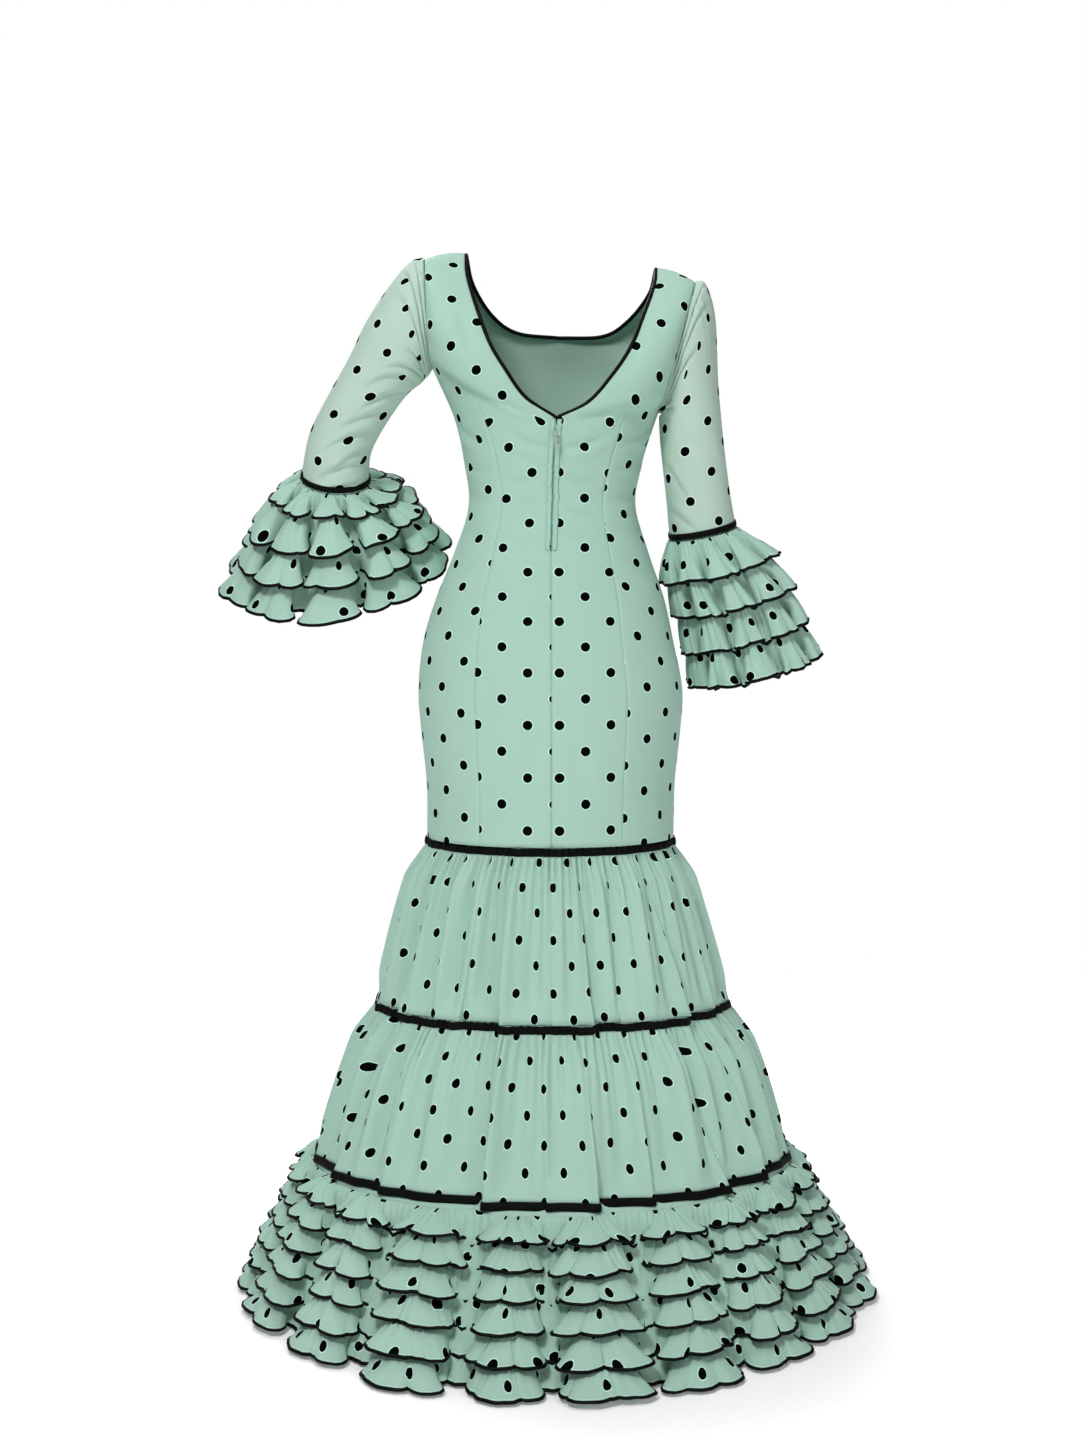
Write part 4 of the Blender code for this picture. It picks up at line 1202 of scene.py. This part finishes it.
# Lapped folds of the two tiers: where, in degrees at the top and at the bottom, how deep at the
# bottom, how far they run on either side, in degrees, and which way the lapped edge faces.
TIER_FOLD_COLUMNS = ("top", "bottom", "depth", "width", "edge")
TIER_1_FOLDS = [
    (40, 34, 0.016, 7, 1), (62, 60, 0.009, 5, -1), (73, 74, 0.013, 6, 1), (90, 90, 0.004, 4, 1),
    (101, 103, 0.013, 6, -1), (114, 112, 0.007, 5, 1), (131, 138, 0.016, 7, -1), (152, 154, 0.010, 6, -1),
    (12, 10, 0.012, 7, 1), (176, 176, 0.012, 7, -1), (200, 202, 0.014, 7, 1), (222, 221, 0.011, 6, -1),
    (240, 243, 0.014, 7, 1), (262, 261, 0.010, 6, 1), (281, 283, 0.014, 7, -1), (303, 302, 0.010, 6, 1),
    (324, 326, 0.014, 7, -1), (346, 345, 0.010, 6, 1),
]
TIER_2_FOLDS = [
    (16, 14, 0.015, 6, 1), (34, 30, 0.020, 7, 1), (50, 48, 0.010, 5, 1), (76, 75, 0.019, 7, 1),
    (88, 89, 0.006, 4, 1), (98, 100, 0.017, 6, -1), (112, 113, 0.008, 5, -1), (127, 133, 0.021, 7, -1),
    (143, 148, 0.017, 6, -1), (164, 168, 0.014, 6, -1), (186, 188, 0.014, 7, 1), (206, 204, 0.016, 7, -1),
    (226, 228, 0.014, 7, 1), (245, 243, 0.016, 7, 1), (265, 267, 0.012, 6, -1), (284, 283, 0.016, 7, 1),
    (304, 306, 0.014, 7, -1), (324, 323, 0.016, 7, 1), (344, 346, 0.014, 7, -1),
]
TIER_ROWS = 28
# How a tier is gathered: its mesh's columns, its gathers, how deep the fine gathers and the coarse
# folds are, and where its cut starts on the dotted cloth.
TIER_1_LOOK = {"columns": 960, "gathers": 120, "seed": 3, "fine": 0.0135, "coarse": 0.0205,
               "offset": (0.0, 0.02)}
TIER_2_LOOK = {"columns": 1040, "gathers": 150, "seed": 4, "fine": 0.0135, "coarse": 0.0225,
               "offset": (0.03, 0.05)}
FOLD_TURN = 0.55             # degrees within which a lapped edge turns back
FOLD_HANG = 0.16             # how much lower an edge hangs for each part that it stands out
SEAM_FADE = 0.050            # how far below a seam the folds of the tier above are felt


def ease(t):
    """0 to 1 with a smooth start and end."""
    t = min(1.0, max(0.0, t))
    return t * t * (3 - 2 * t)


def fold_places(folds, f):
    return np.array([row[0] + (row[1] - row[0]) * f for row in folds])


def tier_turns(folds, f, columns):
    """Turns of a tier's columns, in degrees, closer together at its lapped folds."""
    fine = np.arange(14400) / 40
    away = (fine[:, None] - fold_places(folds, f)[None] + 180) % 360 - 180
    weight = 1 + 5.0 * np.exp(-(away / 1.3) ** 2).sum(axis=1)
    run = np.concatenate([[0], np.cumsum(weight)])
    return np.interp(np.arange(columns) / columns * run[-1], run, np.append(fine, 360))


def lapped(turns, folds, f):
    """Outward and sideways moves, in metres and degrees, that lap the cloth at each fold."""
    out, side = np.zeros_like(turns), np.zeros_like(turns)
    for row in folds:
        fold = named(TIER_FOLD_COLUMNS, row)
        centre = fold["top"] + (fold["bottom"] - fold["top"]) * f
        away = ((turns - centre + 180) % 360 - 180) * fold["edge"]
        step = np.tanh(away / FOLD_TURN)
        share = fold["depth"] / 0.016 * (0.25 + 0.75 * f)
        deep = fold["depth"] * (0.15 + 0.85 * f ** 0.9) * np.where(away > 0, 0.38, 0.70)
        out += deep * step * np.exp(-np.abs(away) / fold["width"])
        side -= 0.85 * share * step * np.exp(-np.abs(away) / 2.2) * fold["edge"]
    return out, side


def edge_steps(folds, turn, window):
    """How far out a tier's folded lower edge stands from its ring, eased along its seam."""
    degrees = np.arange(1440) / 4
    out, _ = lapped(degrees, folds, 1.0)
    wrapped = np.concatenate([out[-window:], out, out[:window]])
    smooth = np.convolve(wrapped, np.ones(2 * window + 1) / (2 * window + 1), "valid")
    return np.interp((turn * 360) % 360, degrees, smooth, period=360)


def tier_grid(table, folds, above, look):
    """A tier's fine grid.  Its top follows the folded lower edge of the tier above."""
    top, bottom = table[0][0], table[-1][0]
    rows = []
    for f in np.linspace(0, 1, TIER_ROWS) ** 1.15:
        z = top + (bottom - top) * f
        row = skirt_row(table, z)
        turns = tier_turns(folds, f, look["columns"])
        fine = gather_wave(turns / 360 * look["gathers"], look["seed"])
        coarse = gather_wave(turns / 360 * (look["gathers"] // 5), look["seed"] + 1)
        below = max(0.0, (top - RIBBON_SKIRT - z)) / (top - bottom)
        out, side = lapped(turns, folds, f)
        held = 1 - ease((top - z) / SEAM_FADE)
        out = out * (1 - held) + edge_steps(above, turns / 360, 4) * held if above else out
        off = look["fine"] * (fine - 0.5) * math.exp(-below * 4.6) * (0.25 + 0.75 * min(1, below * 22))
        off = off + look["coarse"] * (coarse - 0.5) * min(1, 0.2 + below * 4) * (1 - 0.85 * ease(f * 5 - 4))
        hang = FOLD_HANG * out * max(f ** 3, held if above else 0.0)
        rows.append(skirt_place(row, z - hang, (turns + side) / 360, off + out))
    return np.array(rows)


def ribbon_on(name, node, ring, height, upward, material):
    """A ribbon lying on a ring of points, its middle on the ring."""
    along = unit(np.roll(ring, -1, axis=0) - np.roll(ring, 1, axis=0))
    outward = unit(np.cross(along, upward))
    path = ring + outward * (CLOTH + 0.0011)
    piece = swept(name, path, upward, outward, oval(8, height / 2, 0.0011), material)
    stand_for(piece, node)
    return piece


def row_at(points, z):
    """A tier's ring of points at a height between two of its rows."""
    heights = points[:, 0, 2]
    index = int(np.clip(np.searchsorted(-heights, -z), 1, len(points) - 1))
    share = (heights[index - 1] - z) / (heights[index - 1] - heights[index])
    return points[index - 1] + (points[index] - points[index - 1]) * share


def make_tier(node, band_node, table, folds, above, cloth, ribbon, look):
    points = tier_grid(table, folds, above, look)
    depth = float(arc(points, 0)[-1].mean())
    flat_width = cut_width(points, depth * 1.02, TIER_FULLNESS)
    piece = grid_piece("cloth_" + node, points, cloth, closed_cut(points, flat_width, look["offset"]), True)
    stand_for(piece, node)
    top = table[0][0]
    low, high = row_at(points, top - RIBBON_SKIRT), row_at(points, top - 0.0005)
    middle, upward = (low + high) / 2, unit(high - low)
    band = ribbon_on("ribbon_" + band_node, band_node, middle, RIBBON_SKIRT, upward, ribbon)
    declare_gathered(depth)
    return points


def below_tier(height):
    """0 at the seam with the tier above, rising to 1 where the hem hangs free of its folds."""
    return ease((HEM[0][0] - height) / SEAM_FADE)


def hem_place(height, turn, off, rise=0.0):
    top, floor = np.array(HEM)
    row = lerp(top, floor, (top[0] - height) / (top[0] - floor[0])) - np.array([0, 1, 1, 1, 1]) * HEM_INSET
    held = 1 - below_tier(height)
    steps = edge_steps(TIER_2_FOLDS, turn, 8)
    return skirt_place(row, height + rise - FOLD_HANG * steps * held, turn, off + (HEM_INSET + steps) * held)


def hem_flute(height):
    """Depth of the base's own folds, growing down from the ribbon."""
    down = (HEM[0][0] - height) / HEM[0][0]
    return below_tier(height) * (0.008 + 0.014 * down)


# How much wider or narrower than its share of the hem each lobe is, in the order of the folds.
HEM_WIDTHS = (-0.10, 0.04, -0.16, -0.04, -0.26, 0.06, -0.08, -0.20, 0.04, -0.12,
              0.02, -0.18, 0.04, -0.08, -0.22, 0.05, -0.10, 0.03, -0.20, -0.05)


def make_hem(cloth, ribbon, edge_material, tier_points):
    edges = [HEM_EDGES - HEM_STEP * k for k in range(HEM_RUFFLES)]
    tops = [HEM_TOP + 0.001] + [edge + HEM_LAP for edge in edges[:-1]]
    coarse = Lobes(HEM_FOLDS, 480)
    turn, out = coarse.shape(0.0)
    heights = np.linspace(HEM[0][0], edges[-1] + 0.012, 12)
    base = np.array([hem_place(z, turn, hem_flute(z) * out - 0.001) for z in heights])
    width = closed_length(base[-1])
    piece = grid_piece("cloth_hem_base", base, cloth, closed_cut(base, width, (0, 0)), True)
    stand_for(piece, "hem_base")
    last = tier_points[-1]
    upward = unit(row_at(tier_points, last[0, 2] + 0.02) - last)
    band = ribbon_on("ribbon_band_hem", "band_hem", last - upward * 0.0030, RIBBON_SKIRT, upward, ribbon)
    _, high, area = sheet_size(ringed(base))
    declare_gathered(high, area)
    lobes = Lobes(HEM_FOLDS, 1800)
    wide = np.array(HEM_WIDTHS)[lobes.cloth.astype(int)]
    for k in range(HEM_RUFFLES):
        part = k / (HEM_RUFFLES - 1)
        reach = HEM_REACH[0] + (HEM_REACH[1] - HEM_REACH[0]) * part
        look = {**HEM_LOOK, "seed": 100 + 7 * k, "lift": 0.006 * (1 - part * 0.7),
                "drop": 0.010 * (1 - part ** 2), "wave": -0.0014 * (1 - part * 0.8),
                "spread": wide, "neck": wide - 0.30}
        stand = reach - float(hem_flute(edges[k]))
        points = ruffle_grid(hem_place, tops[k], edges[k], lobes, hem_flute, stand, look)
        ruffle_pieces(f"hem_ruffle_{k + 1}", f"hem_edging_{k + 1}", points, cloth, edge_material,
                      (0.017 * k, 0.023 * k))


# ---------------------------------------------------------------- zip
def make_zip_tape(side, material):
    """One lip of the zip: a narrow puckered strip beside the middle of the back."""
    control = np.array([[bodice_point("back", side, row, part) for part in (0.0, 0.1)]
                        for row in range(ZIP_ROWS[0], ZIP_ROWS[1] + 1)])
    line = rows_through(control, 40)
    middle = line[:, 0]
    across = unit(line[:, 1] - middle)
    along = unit(np.gradient(middle, axis=0))
    outward = unit(np.cross(along, across))
    outward *= np.sign(outward[:, 1:2])
    run = np.arange(len(middle))
    rng = np.random.default_rng(31 if side == "left" else 32)
    pucker = (0.0006 * np.sin(run * 0.55 + rng.uniform(0, 6))
              + 0.0005 * np.sin(run * 0.23 + rng.uniform(0, 6)))
    half = TAPE_WIDTH * 0.66
    aside = ZIP_GAP + half + np.clip(pucker, 0, 1)[:, None] * 1.2
    path = middle + across * aside + outward * (CLOTH + 0.0010 + np.abs(pucker)[:, None])
    piece = swept("zip_lip_" + side, path, across, outward, oval(10, half, 0.0008), material, False)
    stand_for(piece, "zip_tape_" + side)


def dress_cad_node(node, material):
    thing = bpy.data.objects[node]
    for slot in thing.material_slots:
        slot.material = material
    if not thing.material_slots:
        thing.data.materials.append(material)


# ---------------------------------------------------------------- the dress
make_camera()
make_studio()
MINT = (cloth_material("mint_crepe", (0.375, 0.570, 0.478), (0.340, 0.532, 0.440), 0.02),
        reverse_material("mint_crepe_reverse", (0.365, 0.540, 0.455), (0.335, 0.510, 0.425)))
SLEEVE_MINT = (cloth_material("mint_sleeve_crepe", (0.455, 0.600, 0.510), (0.420, 0.565, 0.478), 0.03),
               MINT[1])
RIBBON_BLACK = ribbon_material("black_velvet_ribbon", 0.7, 0.02, 1400.0)
SATIN_BLACK = ribbon_material("black_satin_binding", 0.5, 0.0, 900.0)
TAPE = tape_material()
METAL = metal_material()

for wearer_side in ("left", "right"):
    make_back_centre(wearer_side, MINT)
    make_side_panel("back", wearer_side, MINT)
    make_side_panel("front", wearer_side, MINT)
    make_sleeve(wearer_side, SLEEVE_MINT, RIBBON_BLACK)
    make_bell(wearer_side, MINT, SATIN_BLACK)
    make_zip_tape(wearer_side, TAPE)
make_front_centre(MINT)
make_piping(SATIN_BLACK)
make_tier("skirt_tier_1", "band_knee", TIER_1, TIER_1_FOLDS, None, MINT, RIBBON_BLACK, TIER_1_LOOK)
LOWER_TIER = make_tier("skirt_tier_2", "band_middle", TIER_2, TIER_2_FOLDS, TIER_1_FOLDS, MINT,
                       RIBBON_BLACK, TIER_2_LOOK)
make_hem(MINT, RIBBON_BLACK, SATIN_BLACK, LOWER_TIER)
for zip_node in ("zip_slider", "zip_pull"):
    dress_cad_node(zip_node, METAL)
